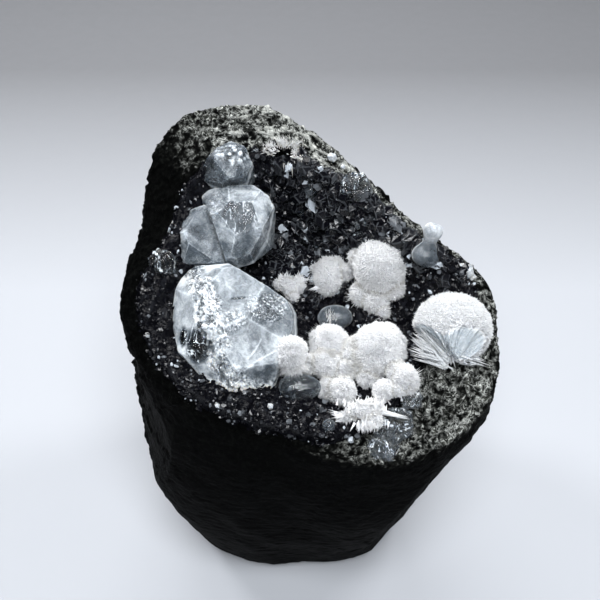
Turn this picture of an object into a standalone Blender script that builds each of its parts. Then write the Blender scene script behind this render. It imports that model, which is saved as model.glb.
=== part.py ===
# Thomsonite with analcime: a hand specimen of black basalt with a crystal-lined hollow.
# Clear analcime and white radiating thomsonite grow on the black druse of the hollow.
# Run it with: blender --background --python part.py

import itertools
import math

import bmesh
import bpy
import numpy as np
from mathutils import Matrix, Vector

MM = 0.001

# The broken face of the rock, which the hollow opens on, leans back from a viewer at -Y.
# Places on it are (across, upslope, outward) in mm from the face's middle.
FACE_TILT = math.radians(35)
FACE_MIDDLE = np.array([0.0, -4.0, 43.2])
ACROSS = (1.0, 0.0, 0.0)
UPSLOPE = (0.0, math.cos(FACE_TILT), math.sin(FACE_TILT))
OUTWARD = (0.0, -math.sin(FACE_TILT), math.cos(FACE_TILT))
FACE_AXES = np.array([ACROSS, UPSLOPE, OUTWARD])

# The rock's rim in that frame, in mm, from the right-hand side round over the top.
RIM = (
    (22.2, 0.0, 0.3), (19.3, 3.4, 0.7), (16.4, 5.9, 0.2), (10.7, 11.1, -0.5), (4.8, 16.6, 0.4),
    (0.2, 20.1, 1.2), (-3.9, 22.4, 1.5), (-8.8, 22.8, 0.9), (-13.2, 22.3, 0.5), (-15.8, 19.8, 1.2),
    (-17.6, 16.6, 0.9), (-18.4, 13.0, -0.2), (-18.8, 9.0, -0.9), (-19.8, 5.0, -0.3), (-20.7, 0.2, 0.5),
    (-20.2, -3.8, 0.1), (-18.4, -8.2, -0.5), (-14.8, -12.6, -0.7), (-9.2, -15.8, -0.2), (-2.4, -17.6, 0.4),
    (4.0, -19.8, 0.8), (9.6, -19.9, 0.2), (15.0, -18.6, -0.4), (19.8, -15.0, 0.2), (22.3, -11.0, 0.6),
    (22.8, -5.6, 0.2),
)

# The hollow is a square net of cells drawn out to the rim. The number of cells a side is even.
CELLS = 20

# The outer wall, in mm, every 30 degrees round the vertical from +X towards +Y: the foot that the
# rock is cut off on, how far the wall swells past a straight run to the rim, how far it stands out
# further just below the rim, and how rough it is.
FOOT_RADIUS = (13.0, 13.5, 14.5, 15.5, 14.5, 14.0, 14.5, 16.2, 15.8, 13.8, 14.6, 14.4)
WALL_SWELL = (3.2, 3.0, 3.4, 3.2, 3.4, 3.0, 3.2, 4.2, 3.9, 3.2, 3.6, 4.0)
WALL_SHOULDER = (0.3, 1.5, 4.6, 5.4, 4.2, 1.6, 0.3, 0.0, 0.0, 0.0, 0.0, 0.0)
WALL_ROUGHNESS = (0.7, 1.1, 1.3, 1.3, 1.3, 1.0, 0.6, 0.5, 0.45, 0.45, 0.45, 0.5)
WALL_RINGS = 10
WALL_LUMPS = ((7.0, 1.0, 3), (3.2, 0.6, 4))
FOOT_ROUNDING = 1.6
FOOT_FLARE = 4
ROCK_HEART = np.array([0.0, -1.0, 24.0])

# Flat breaks on the wall: azimuth and height angle in degrees, and distance from the heart in mm.
# They reach their full strength BREAK_START of the way down the wall.
BREAKS = (
    (22, 6, 19.2), (58, 26, 22.6), (76, -4, 17.8), (112, 34, 25.2), (116, 2, 17.9), (148, 8, 19.2), (92, -38, 23.6),
    (172, -30, 22.6), (36, -34, 22.8), (140, -34, 23.4), (205, 8, 20.2), (318, -20, 20.8), (250, -24, 22.3),
)
BREAK_START = 0.3

# The hollow: width of the bare rim band and length of the slope below it, in mm, every 30 degrees
# round the face's middle from the right-hand side.
BAND_WIDTH = (1.4, 1.3, 1.4, 3.6, 6.0, 3.6, 1.5, 1.2, 0.8, 0.8, 4.5, 8.5)
SLOPE_LENGTH = (7.5, 8.0, 9.0, 8.5, 8.0, 8.0, 9.0, 9.0, 10.0, 9.0, 6.5, 5.0)
BAND_FALL = 0.12
HOLLOW_DEPTH = 9.5
HOLLOW_BASE_DEPTH = 2.8
HOLLOW_MIDDLE = (1.0, 9.5)
HOLLOW_SPREAD = (14.0, 13.0)
FLOOR_LUMPS = 0.5
FLOOR_LUMP_SIZE = 4.5
FLOOR_SEED = 11
RIM_FADE = 2.0

# The druse is a crust of black crystals with pointed tops, laid just off the rock, in mm. What grows
# on it is cut off CUTTER_LIFT above it, and pieces that touch keep GAP between them.
GAP = 0.3
CRUST_GAP = 0.45
CRUST_THICKNESS = 0.6
CRUST_EDGE = 0.5
DRUSE_HEIGHT = 1.5
DRUSE_SHIFT = 0.36
DRUSE_SEED = 8
CUTTER_LIFT = 0.45
CUTTER_DEPTH = 7.0

# Steps along each span of a smooth curve, steps round the rim, and the numbers that the roughness
# is drawn from, with the stride through them along each axis.
SPAN_STEPS = 40
RIM_STEPS = 360
NOISE_NUMBERS = 4096
NOISE_STRIDES = np.array((1, 57, 793))

# Analcime crystals, each a block cut down to its facets. Each has its middle on the face, and for each
# facet the way it looks, in degrees round the face and degrees up from it, and its distance in mm.
CRYSTAL_BLOCK = 40
LARGE_ANALCIME = ((-7.9, -4.6, -1.7), (
    (90, 8, 8.1), (57, 8, 6.8), (27, 12, 7.2), (0, 6, 7.0), (-18, 8, 6.8), (-29, 6, 7.3),
    (-78, 6, 8.3), (-108, 5, 7.9), (-136, 6, 7.0), (-170, 6, 6.9), (168, 8, 7.4), (139, 8, 8.6),
    (75, 58, 5.4), (15, 54, 5.6), (-42, 52, 5.9), (-95, 46, 6.6), (-150, 50, 6.0), (172, 54, 5.7), (125, 50, 6.4),
    (0, 88, 4.6), (45, -35, 6.6), (135, -35, 7.0), (225, -35, 6.9), (315, -35, 6.8), (0, -88, 6.0),
))
PAIR_LEFT_ANALCIME = ((-12.4, 7.9, -2.7), (
    (68, 6, 3.7), (115, 8, 3.4), (150, 8, 2.9), (185, 6, 2.7), (232, 8, 3.4), (270, 6, 3.5), (0, 5, 3.0),
    (90, 55, 3.0), (200, 58, 2.6), (320, 55, 2.6), (250, 50, 3.1), (20, 82, 2.7), (60, -40, 3.4), (180, -40, 3.4),
    (300, -40, 3.4),
))
PAIR_RIGHT_ANALCIME = ((-7.5, 9.4, -2.4), (
    (93, 8, 4.7), (128, 8, 5.0), (160, 6, 4.6), (200, 8, 4.0), (238, 8, 4.4), (272, 8, 4.7), (305, 8, 4.2),
    (335, 8, 4.2), (10, 8, 4.2), (45, 10, 4.7), (110, 55, 4.0), (30, 52, 4.1), (300, 55, 3.9), (210, 56, 3.6),
    (60, 84, 3.5), (45, -38, 4.4), (165, -38, 4.4), (285, -38, 4.4),
))
TOP_ANALCIME = ((-8.9, 15.9, -0.3), (
    (90, 8, 2.7), (140, 6, 3.1), (185, 8, 3.0), (235, 8, 3.0), (275, 8, 2.9), (320, 8, 2.9), (5, 6, 2.9),
    (48, 8, 3.1), (100, 56, 2.2), (350, 52, 2.3), (230, 54, 2.2), (0, 84, 2.0), (90, -40, 2.8), (270, -40, 2.8),
))
FRONT_ANALCIMES = (
    ((10.6, -15.7, 0.2), (
        (75, 12, 1.9), (130, 18, 1.6), (190, 14, 1.7), (245, 14, 1.8), (300, 16, 1.7), (0, 12, 1.9),
        (60, 56, 1.5), (190, 55, 1.5), (310, 58, 1.6), (90, -45, 1.8), (270, -45, 1.8),
    )),
    ((9.3, -18.0, 0.3), (
        (95, 12, 1.5), (150, 18, 1.4), (210, 14, 1.5), (268, 14, 1.5), (325, 16, 1.5), (30, 12, 1.4),
        (80, 56, 1.2), (215, 55, 1.2), (330, 58, 1.3), (90, -45, 1.4), (270, -45, 1.4),
    )),
)

# The small analcimes are one shape at several sizes: place across and upslope, height over the crust, size.
SMALL_FACETS = (
    (80, 12, 1.0), (130, 20, 0.92), (185, 14, 1.0), (240, 14, 0.95), (300, 16, 1.0), (355, 12, 0.94), (35, 14, 1.0),
    (60, 60, 0.84), (200, 55, 0.82), (320, 58, 0.88), (90, -45, 0.95), (270, -45, 0.95),
)
SMALL_ANALCIMES = {
    "druse_analcime": (6.5, 12.2, 0.2, 1.6),
    "left_analcime": (-16.0, 3.0, 0.1, 1.45),
    "edge_analcime": (12.7, -12.9, -0.5, 0.95),
}

# Thomsonite sprays. Each ball has its place across and upslope, how far its middle stands over
# the crust, and its radius, all in mm.
SMALL_SPRAY = ((-1.3, 1.2, 1.0, 2.0), (-1.0, -0.6, 0.3, 1.1))
UPPER_SPRAYS = (
    (3.4, 2.6, 1.0, 2.4), (5.6, 3.3, 1.0, 1.5), (10.2, 3.6, 2.0, 3.7), (6.9, 5.2, 0.6, 1.5), (12.2, -0.2, 1.0, 1.7),
    (8.6, -0.8, 0.8, 2.7),
)
LOWER_SPRAYS = (
    (-0.8, -6.9, 1.4, 2.15), (3.7, -6.0, 1.8, 2.8), (9.3, -6.4, 2.6, 3.7), (7.5, -9.6, 1.6, 2.5), (3.9, -11.4, 1.2, 2.3),
    (12.4, -10.5, 1.2, 1.75), (9.8, -11.6, 1.7, 1.6), (0.2, -9.4, 0.6, 1.7), (6.6, -12.6, 1.0, 1.9),
)
RAGGED_SPRAY = ((8.3, -14.7, 0.8), (4.2, 1.8, 1.1))
FAN_SPRAY = ((17.1, -5.1, 0.5), (5.0, 4.8, 3.7))
FAN_BREAK = (-84, 38, 1.5)
BALL_ROUGHNESS = 0.09
BALL_SEED = 20
RAGGED_ROUGHNESS = 0.3
RAGGED_SEED = 77
FAN_ROUGHNESS = 0.06
FAN_SEED = 61

# A ball of more than LARGE_BALL mm gets more points.
LARGE_BALL = 3.0
LARGE_DETAIL = 3
SMALL_DETAIL = 2

# Small glassy pieces: place across and upslope, height of the middle over the crust, and half sizes.
GLASSY_PIECES = {
    "glassy_foot": ((-0.2, -11.9, 0.2), (2.2, 1.3, 1.1)),
    "glassy_dome": ((3.9, -2.0, 0.3), (2.3, 1.5, 1.4)),
    "front_bead": ((3.2, -15.7, 0.2), (0.75, 0.75, 0.7)),
    "rim_crystal": ((19.4, 1.8, 0.5), (1.0, 0.8, 0.8)),
}
GLASSY_ROUGHNESS = 0.03
GLASSY_SEED = 5

# The glassy drop hangs down the hollow's side: (distance along it, radius) in mm from its head.
DROP_HEAD = (15.9, 7.0, 2.0)
DROP_TIP = (14.8, 2.6, 0.9)
DROP_PROFILE = (
    (0.0, 0.0), (0.15, 0.8), (0.8, 1.2), (1.5, 1.0), (2.1, 0.75), (2.7, 1.2), (3.3, 1.5), (3.9, 1.35), (4.3, 0.8),
    (4.45, 0.0),
)
DROP_STEPS = 12
DROP_MERGE = 0.00001

# Two round gas holes: one low on the wall, by its place in mm, and one in the druse, by its place
# across and upslope and its height over the crust. The last number is the radius.
WALL_HOLE = ((-6.0, -16.2, 2.6), 1.1)
DRUSE_HOLE = ((-1.9, 18.5, 0.3), 1.15)


def loop_value(values, place):
    """Catmull-Rom value of a closed list, at a place counted in list steps."""
    values = np.asarray(values, float)
    low = np.floor(place).astype(int)
    part = place - low
    before, start, end, after = (values[(low + step) % len(values)] for step in (-1, 0, 1, 2))
    if values.ndim > 1:
        part = part[:, None]
    bend = 2 * before - 5 * start + 4 * end - after
    twist = 3 * start - before - 3 * end + after
    return 0.5 * (2 * start + (end - before) * part + bend * part**2 + twist * part**3)


def round_value(values, angle):
    """Value at an angle in radians of a list that goes once round."""
    return loop_value(values, angle / math.tau % 1 * len(values))


def even_loop(points, share):
    """Points on the smooth closed curve through the given points, at shares of its length."""
    places = np.linspace(0, len(points), SPAN_STEPS * len(points) + 1)
    steps = np.linalg.norm(np.diff(loop_value(points, places), axis=0), axis=1)
    run = np.concatenate([[0], np.cumsum(steps)])
    return loop_value(points, np.interp(share % 1 * run[-1], run, places))


def rough(points, size, seed):
    """Value noise from -1 to 1: seeded numbers at the corners of cells, blended smoothly between them."""
    numbers = np.random.default_rng(seed).uniform(-1, 1, NOISE_NUMBERS)
    cell = points / size
    low = np.floor(cell).astype(int)
    part = cell - low
    part = part * part * (3 - 2 * part)
    total = np.zeros(points.shape[:-1])
    for corner in itertools.product((0, 1), repeat=3):
        corner = np.array(corner)
        weight = np.prod(np.where(corner, part, 1 - part), axis=-1)
        total += weight * numbers[(low + corner) @ NOISE_STRIDES % NOISE_NUMBERS]
    return total


def eased(share):
    """A share from 0 to 1 that starts and stops gently."""
    share = np.clip(share, 0, 1)
    return share * share * (3 - 2 * share)


def hump(share, lean):
    """A hump of height 1 that is 0 at shares 0 and 1; a larger lean brings its top nearer to 0."""
    top = 1 / (1 + lean)
    return share * (1 - share)**lean / (top * (1 - top)**lean)


def face_place(local):
    """World place in mm of a place given in the face frame."""
    return FACE_MIDDLE + np.asarray(local, float) @ FACE_AXES


def rim_at(angle):
    """Distance from the face's middle to the rim, and the rim's height, at an angle."""
    rim = even_loop(RIM, np.linspace(0, 1, RIM_STEPS, endpoint=False))
    angles = np.arctan2(rim[:, 1], rim[:, 0])
    reach = np.interp(angle, angles, np.hypot(rim[:, 0], rim[:, 1]), period=math.tau)
    return reach, np.interp(angle, angles, rim[:, 2], period=math.tau)


def floor_height(across, upslope):
    """Height of the hollow's rock floor: a bare band inside the rim, an eased slope, then a bowl."""
    angle = np.arctan2(upslope, across)
    reach, rim_height = rim_at(angle)
    inset = reach - np.hypot(across, upslope)
    band = round_value(BAND_WIDTH, angle)
    drop = eased((inset - band) / round_value(SLOPE_LENGTH, angle))
    spread = ((across - HOLLOW_MIDDLE[0]) / HOLLOW_SPREAD[0])**2
    spread = spread + ((upslope - HOLLOW_MIDDLE[1]) / HOLLOW_SPREAD[1])**2
    depth = HOLLOW_BASE_DEPTH + HOLLOW_DEPTH * np.exp(-spread)
    flat = np.stack([across, upslope, 0 * across], axis=-1)
    depth = depth + FLOOR_LUMPS * rough(flat, FLOOR_LUMP_SIZE, FLOOR_SEED)
    edge = rim_height * np.clip(1 - inset / (band + RIM_FADE), 0, 1)
    return edge - BAND_FALL * np.clip(inset, 0, band) - drop * depth


def crust_height(across, upslope):
    """Height of the middle of the druse's crystals over the face."""
    bare = floor_height(np.array(across), np.array(upslope))
    return float(bare) + CRUST_GAP + CRUST_THICKNESS + DRUSE_HEIGHT / 2


def over_crust(across, upslope, lift):
    """World place in mm at a height over the druse."""
    return face_place((across, upslope, crust_height(across, upslope) + lift))


def net_places(cells):
    """Share round the rim and share out from the middle for each point of a square net of cells."""
    line = np.linspace(-1, 1, cells + 1)
    side, height = np.meshgrid(line, line)
    out = np.maximum(abs(side), abs(height))
    steep = abs(height) > abs(side)
    slant = np.divide(np.where(steep, -side, height), np.where(steep, height, side), out=0 * out, where=out > 0)
    turn = np.select([steep & (height > 0), steep, side < 0], [2, 6, 4], 0)
    return (turn + slant) / 8 % 1, out


def border(net):
    """The points round the edge of a net, counter-clockwise from its first corner."""
    return np.concatenate([net[0, :-1], net[:-1, -1], net[-1, :0:-1], net[:0:-1, 0]])


def hollow_floor():
    """Net of floor points in the face frame, out to the edge of the bare band."""
    around, out = net_places(CELLS)
    rim = even_loop(RIM, around.ravel()).reshape(*around.shape, 3)
    angle = np.arctan2(rim[..., 1], rim[..., 0])
    edge = 1 - round_value(BAND_WIDTH, angle) / np.hypot(rim[..., 0], rim[..., 1])
    across, upslope = out * edge * rim[..., 0], out * edge * rim[..., 1]
    return np.stack([across, upslope, floor_height(across, upslope)], axis=-1)


def druse_top(floor):
    """The crust's top: the floor raised, each point moved at random into a crystal tip or a dip."""
    chance = np.random.default_rng(DRUSE_SEED)
    height = chance.uniform(0, DRUSE_HEIGHT, floor.shape[:2]) + CRUST_THICKNESS
    shift = chance.uniform(-DRUSE_SHIFT, DRUSE_SHIFT, floor.shape[:2] + (2,))
    edge = np.ones(floor.shape[:2], bool)
    edge[1:-1, 1:-1] = False
    height[edge], shift[edge] = CRUST_EDGE, 0.0
    top = lifted(floor, CRUST_GAP)
    top[..., 2] += height
    top[..., :2] += shift
    return top


def closed_mesh(net, rings, end):
    """Closed mesh from a net of points in mm, rings that follow its border, and a pole or a net to end on."""
    side = net.shape[0]
    numbers = np.arange(side * side).reshape(side, side)
    faces = net_faces(numbers)
    points = [net.reshape(-1, 3)]
    loops = [border(numbers)]
    used = side * side
    for ring in rings:
        points.append(ring)
        loops.append(used + np.arange(len(ring)))
        used += len(ring)
    if end.ndim == 1:
        points.append(end[None])
        last = loops[-1].tolist()
        faces += [[a, b, used] for a, b in zip(last, last[1:] + last[:1])]
    else:
        points.append(end.reshape(-1, 3))
        numbers = used + np.arange(end.shape[0]**2).reshape(end.shape[:2])
        faces += net_faces(numbers)
        loops.append(border(numbers))
    for low, high in zip(loops, loops[1:]):
        faces += np.stack([low, np.roll(low, -1), np.roll(high, -1), high], axis=-1).tolist()
    mesh = bpy.data.meshes.new("closed")
    mesh.from_pydata((np.concatenate(points) * MM).tolist(), [], faces)
    return outward(mesh)


def net_faces(numbers):
    """Triangles of a net, two to a cell, parted along the line that points at the net's middle."""
    corners = [numbers[:-1, :-1], numbers[:-1, 1:], numbers[1:, 1:], numbers[1:, :-1]]
    cells = np.stack(corners, axis=-1)
    half = cells.shape[0] // 2
    for quarter in (cells[:half, half:], cells[half:, :half]):
        quarter[:] = np.roll(quarter, 1, axis=-1)
    cells = cells.reshape(-1, 4)
    return cells[:, [0, 1, 2]].tolist() + cells[:, [0, 2, 3]].tolist()


def outward(mesh):
    """Turn every face of a closed mesh outward."""
    work = bmesh.new()
    work.from_mesh(mesh)
    bmesh.ops.recalc_face_normals(work, faces=work.faces)
    work.to_mesh(mesh)
    work.free()
    return mesh


def wall_rings(rim):
    """Rings of the outer wall in world mm: runs from rim to foot, swollen, broken flat and roughened."""
    top = face_place(rim)
    angle = np.arctan2(top[:, 1] - ROCK_HEART[1], top[:, 0] - ROCK_HEART[0])
    away = np.stack([np.cos(angle), np.sin(angle), 0 * angle], axis=-1)
    foot = away * (round_value(FOOT_RADIUS, angle) - FOOT_ROUNDING)[:, None]
    rings = []
    for step in range(1, WALL_RINGS + 1):
        share = step / WALL_RINGS
        ring = top + (foot - top) * share
        if step < WALL_RINGS:
            swell = round_value(WALL_SWELL, angle) * hump(share, 1)
            swell = swell + round_value(WALL_SHOULDER, angle) * hump(share, 3)
            ring = broken(ring + away * swell[:, None], eased(share / BREAK_START))
            ring = roughened(ring, round_value(WALL_ROUGHNESS, angle))
            ring += away * FOOT_ROUNDING * share**FOOT_FLARE
        rings.append(ring)
    return rings


def broken(ring, strength):
    """Press a ring's points back to the flat breaks."""
    for azimuth, height, distance in BREAKS:
        azimuth, height = math.radians(azimuth), math.radians(height)
        look = np.array([math.cos(azimuth) * math.cos(height), math.sin(azimuth) * math.cos(height), math.sin(height)])
        past = np.maximum((ring - ROCK_HEART) @ look - distance, 0)
        ring = ring - look * past[:, None] * strength
    return ring


def roughened(ring, roughness):
    """Move a ring's points in and out of the rock by lumps of several sizes."""
    away = ring - ROCK_HEART
    away /= np.linalg.norm(away, axis=1)[:, None]
    lumps = sum(height * rough(ring, size, seed) for size, height, seed in WALL_LUMPS)
    return ring + away * (roughness * lumps)[:, None]


def rock_mesh(floor):
    """The whole rock: hollow, band, rim, wall and foot."""
    band, rim = band_rings(floor)
    rings = [face_place(band), face_place(rim)] + wall_rings(rim)
    return closed_mesh(face_place(floor), rings, np.zeros(3))


def band_rings(floor):
    """The middle and the outer edge of the bare band, which is the rock's rim."""
    rim = even_loop(RIM, border(net_places(CELLS)[0]))
    band = (border(floor) + rim) / 2
    band[:, 2] = floor_height(band[:, 0], band[:, 1])
    return band, rim


def crust_mesh(floor, top):
    """The druse as one closed crust: pointed top, thin edge and an underside just off the rock."""
    return closed_mesh(face_place(top), [], face_place(lifted(floor, CRUST_GAP)))


def hollow_cutter_mesh(floor, top):
    """What lies under the druse, the bare band and the gap above them, to cut what grows there."""
    rings = [face_place(ring + (0, 0, CUTTER_LIFT)) for ring in band_rings(floor)]
    return closed_mesh(face_place(top + (0, 0, CUTTER_LIFT)), rings, face_place(floor - (0, 0, CUTTER_DEPTH)))


def lifted(net, distance):
    """A net of points moved along its own normals."""
    along, across = np.gradient(net, axis=0), np.gradient(net, axis=1)
    normal = np.cross(across, along)
    normal /= np.linalg.norm(normal, axis=-1)[..., None]
    return net + normal * np.sign(normal[..., 2:]) * distance


def grown(mesh, distance):
    """A copy of a closed mesh with its skin pushed out by a distance in mm."""
    copy = mesh.copy()
    normals = [vertex.normal.copy() for vertex in mesh.vertices]
    for vertex, normal in zip(copy.vertices, normals):
        vertex.co += normal * distance * MM
    return copy


def crystal_mesh(middle, facets):
    """A cube cut down by one flat facet after another, set on the face."""
    work = bmesh.new()
    bmesh.ops.create_cube(work, size=CRYSTAL_BLOCK * MM)
    for around, up, distance in facets:
        around, up = math.radians(around), math.radians(up)
        look = Vector((math.cos(around) * math.cos(up), math.sin(around) * math.cos(up), math.sin(up)))
        everything = work.verts[:] + work.edges[:] + work.faces[:]
        cut_off = bmesh.ops.bisect_plane(
            work, geom=everything, plane_co=look * distance * MM, plane_no=look, clear_outer=True)
        edges = [item for item in cut_off["geom_cut"] if isinstance(item, bmesh.types.BMEdge)]
        bmesh.ops.contextual_create(work, geom=edges)
    mesh = bpy.data.meshes.new("crystal")
    work.to_mesh(mesh)
    work.free()
    turn = Matrix([list(axis) for axis in FACE_AXES]).transposed()
    mesh.transform(Matrix.Translation(Vector(face_place(middle)) * MM) @ turn.to_4x4())
    return outward(mesh)


def ball_mesh(middle, half, detail, roughness, seed):
    """An icosphere stretched to its half sizes in the face frame, with its points moved in and out at random."""
    work = bmesh.new()
    bmesh.ops.create_icosphere(work, subdivisions=detail, radius=1)
    points = np.array([vertex.co for vertex in work.verts])
    mesh = bpy.data.meshes.new("ball")
    work.to_mesh(mesh)
    work.free()
    reach = 1 + roughness * np.random.default_rng(seed).uniform(-1, 1, len(points))
    points = points * reach[:, None] * np.array(half)
    mesh.vertices.foreach_set("co", ((middle + points @ FACE_AXES) * MM).ravel())
    mesh.update()
    return mesh


def round_mesh(middle, radius):
    """A plain small ball."""
    return ball_mesh(np.array(middle), (radius,) * 3, SMALL_DETAIL, 0.0, 0)


def spray_meshes(balls):
    """Rough balls for the sprays of one cluster, the larger ones with more points."""
    meshes = []
    for number, (across, upslope, lift, radius) in enumerate(balls):
        detail = LARGE_DETAIL if radius > LARGE_BALL else SMALL_DETAIL
        middle = over_crust(across, upslope, lift)
        meshes.append(ball_mesh(middle, (radius,) * 3, detail, BALL_ROUGHNESS, BALL_SEED + number))
    return meshes


def fan_mesh():
    """A large rough ball broken flat on its lower front side."""
    place, half = FAN_SPRAY
    middle = over_crust(*place)
    mesh = ball_mesh(middle, half, LARGE_DETAIL, FAN_ROUGHNESS, FAN_SEED)
    around, up, distance = FAN_BREAK
    around, up = math.radians(around), math.radians(up)
    look = np.array([math.cos(around) * math.cos(up), math.sin(around) * math.cos(up), math.sin(up)]) @ FACE_AXES
    work = bmesh.new()
    work.from_mesh(mesh)
    everything = work.verts[:] + work.edges[:] + work.faces[:]
    cut_off = bmesh.ops.bisect_plane(
        work, geom=everything, plane_co=Vector(middle + look * distance) * MM, plane_no=Vector(look), clear_outer=True)
    edges = [item for item in cut_off["geom_cut"] if isinstance(item, bmesh.types.BMEdge)]
    bmesh.ops.contextual_create(work, geom=edges)
    work.to_mesh(mesh)
    work.free()
    return outward(mesh)


def drop_mesh():
    """A drop with a neck and a head: a turned profile laid between its two ends."""
    profile = bpy.data.meshes.new("drop_profile")
    points = [(radius * MM, 0, -along * MM) for along, radius in DROP_PROFILE]
    profile.from_pydata(points, [(k, k + 1) for k in range(len(points) - 1)], [])
    turned = bpy.data.objects.new("drop_profile", profile)
    bpy.context.scene.collection.objects.link(turned)
    screw = turned.modifiers.new("turn", "SCREW")
    screw.axis = "Z"
    screw.steps = screw.render_steps = DROP_STEPS
    screw.use_merge_vertices = True
    screw.merge_threshold = DROP_MERGE
    mesh = evaluated(turned)
    head, tip = (Vector(face_place(place)) * MM for place in (DROP_HEAD, DROP_TIP))
    turn = (head - tip).to_track_quat("Z", "Y").to_matrix().to_4x4()
    mesh.transform(Matrix.Translation(head) @ turn)
    return outward(mesh)


def evaluated(item):
    """The mesh of an object after its modifiers; the object is removed."""
    view = bpy.context.evaluated_depsgraph_get()
    mesh = bpy.data.meshes.new_from_object(item.evaluated_get(view))
    bpy.data.objects.remove(item, do_unlink=True)
    return mesh


def joined(meshes):
    """One mesh from several that overlap, by Boolean union."""
    result = meshes[0]
    for other in meshes[1:]:
        items = [bpy.data.objects.new("union_part", mesh) for mesh in (result, other)]
        for item in items:
            bpy.context.scene.collection.objects.link(item)
        union = items[0].modifiers.new("join", "BOOLEAN")
        union.operation = "UNION"
        union.object = items[1]
        result = evaluated(items[0])
        bpy.data.objects.remove(items[1], do_unlink=True)
    return result


def cut(item, *cutters):
    """Cut an object by each cutter."""
    for cutter in cutters:
        difference = item.modifiers.new("cut by " + cutter.name, "BOOLEAN")
        difference.operation = "DIFFERENCE"
        difference.object = cutter
    return item


def new_collection(name):
    """A collection of its own under the scene's."""
    collection = bpy.data.collections.new(name)
    bpy.context.scene.collection.children.link(collection)
    return collection


def new_object(name, mesh, collection, finish):
    """An object with one material, in a collection."""
    mesh.name = name
    mesh.materials.clear()
    mesh.materials.append(finish)
    item = bpy.data.objects.new(name, mesh)
    collection.objects.link(item)
    return item


def new_cutter(name, mesh, collection):
    """A cutter: shown as wire and left out of renders."""
    item = bpy.data.objects.new(name, mesh)
    collection.objects.link(item)
    item.hide_render = True
    item.display_type = "WIRE"
    return item


def material(name, colour, roughness):
    """A Principled material; an alpha under 1 shows a clear stone in the viewport."""
    finish = bpy.data.materials.new(name)
    finish.use_nodes = True
    shader = finish.node_tree.nodes["Principled BSDF"]
    shader.inputs["Base Color"].default_value = colour[:3] + (1.0,)
    shader.inputs["Alpha"].default_value = colour[3]
    shader.inputs["Roughness"].default_value = roughness
    shader.inputs["Metallic"].default_value = 0.0
    finish.diffuse_color = colour
    return finish


def main():
    """Build every piece of the specimen."""
    for item in list(bpy.data.objects):
        bpy.data.objects.remove(item, do_unlink=True)
    pieces = new_collection("thomsonite_with_analcime")
    cutters = new_collection("cutters")
    basalt = material("black_basalt", (0.035, 0.036, 0.038, 1.0), 0.75)
    black = material("black_druse", (0.012, 0.012, 0.014, 1.0), 0.22)
    clear = material("clear_analcime", (0.86, 0.90, 0.93, 0.55), 0.12)
    white = material("white_thomsonite", (0.92, 0.92, 0.90, 1.0), 0.85)
    glassy = material("glassy_thomsonite", (0.62, 0.66, 0.70, 0.6), 0.15)

    floor = hollow_floor()
    top = druse_top(floor)
    rock = new_object("basalt_matrix", rock_mesh(floor), pieces, basalt)
    crust = new_object("druse_crust", crust_mesh(floor, top), pieces, black)
    hollow = new_cutter("hollow_cutter", hollow_cutter_mesh(floor, top), cutters)
    rock_cutter = new_cutter("rock_cutter", grown(rock.data, GAP), cutters)
    place, radius = WALL_HOLE
    cut(rock, new_cutter("wall_hole_cutter", round_mesh(place, radius), cutters))
    place, radius = DRUSE_HOLE
    cut(crust, new_cutter("druse_hole_cutter", round_mesh(over_crust(*place), radius), cutters))

    lower = spray_meshes(LOWER_SPRAYS)
    place, half = RAGGED_SPRAY
    lower.append(ball_mesh(over_crust(*place), half, SMALL_DETAIL, RAGGED_ROUGHNESS, RAGGED_SEED))
    lower = joined(lower)
    pair = joined([crystal_mesh(*PAIR_LEFT_ANALCIME), crystal_mesh(*PAIR_RIGHT_ANALCIME)])
    by_lower = new_cutter("lower_cluster_cutter", grown(lower, GAP), cutters)
    by_pair = new_cutter("pair_cutter", grown(pair, GAP), cutters)

    front = joined([crystal_mesh(*crystal) for crystal in FRONT_ANALCIMES])
    cut(new_object("large_analcime", crystal_mesh(*LARGE_ANALCIME), pieces, clear), hollow, by_lower)
    cut(new_object("upper_analcime_pair", pair, pieces, clear), hollow)
    cut(new_object("top_analcime", crystal_mesh(*TOP_ANALCIME), pieces, clear), hollow, by_pair)
    cut(new_object("front_analcimes", front, pieces, clear), hollow, by_lower, rock_cutter)
    for name, (across, upslope, lift, size) in SMALL_ANALCIMES.items():
        facets = [(around, up, distance * size) for around, up, distance in SMALL_FACETS]
        mesh = crystal_mesh((across, upslope, crust_height(across, upslope) + lift), facets)
        cut(new_object(name, mesh, pieces, clear), hollow, rock_cutter)

    small, upper = joined(spray_meshes(SMALL_SPRAY)), joined(spray_meshes(UPPER_SPRAYS))
    cut(new_object("small_thomsonite_ball", small, pieces, white), hollow)
    cut(new_object("upper_thomsonite_cluster", upper, pieces, white), hollow)
    cut(new_object("lower_thomsonite_cluster", lower, pieces, white), hollow)
    cut(new_object("thomsonite_fan", fan_mesh(), pieces, white), hollow, by_lower, rock_cutter)

    for name, (place, half) in GLASSY_PIECES.items():
        mesh = ball_mesh(over_crust(*place), half, SMALL_DETAIL, GLASSY_ROUGHNESS, GLASSY_SEED)
        cut(new_object(name, mesh, pieces, glassy), hollow, by_lower, rock_cutter)
    cut(new_object("glassy_drop", drop_mesh(), pieces, glassy), hollow, rock_cutter)


main()
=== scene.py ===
# %% [markdown]
# A specimen of thomsonite with analcime: black basalt with a leaning, broken face, and in the face a
# hollow lined with a glossy black druse. On the druse sit clear analcime crystals and white balls of
# radiating thomsonite needles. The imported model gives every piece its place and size, and this lesson
# gives each piece its surface.
#
# Sizes are in millimetres and become metres when a mesh is made.

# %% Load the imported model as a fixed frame
import itertools
import math

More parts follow.
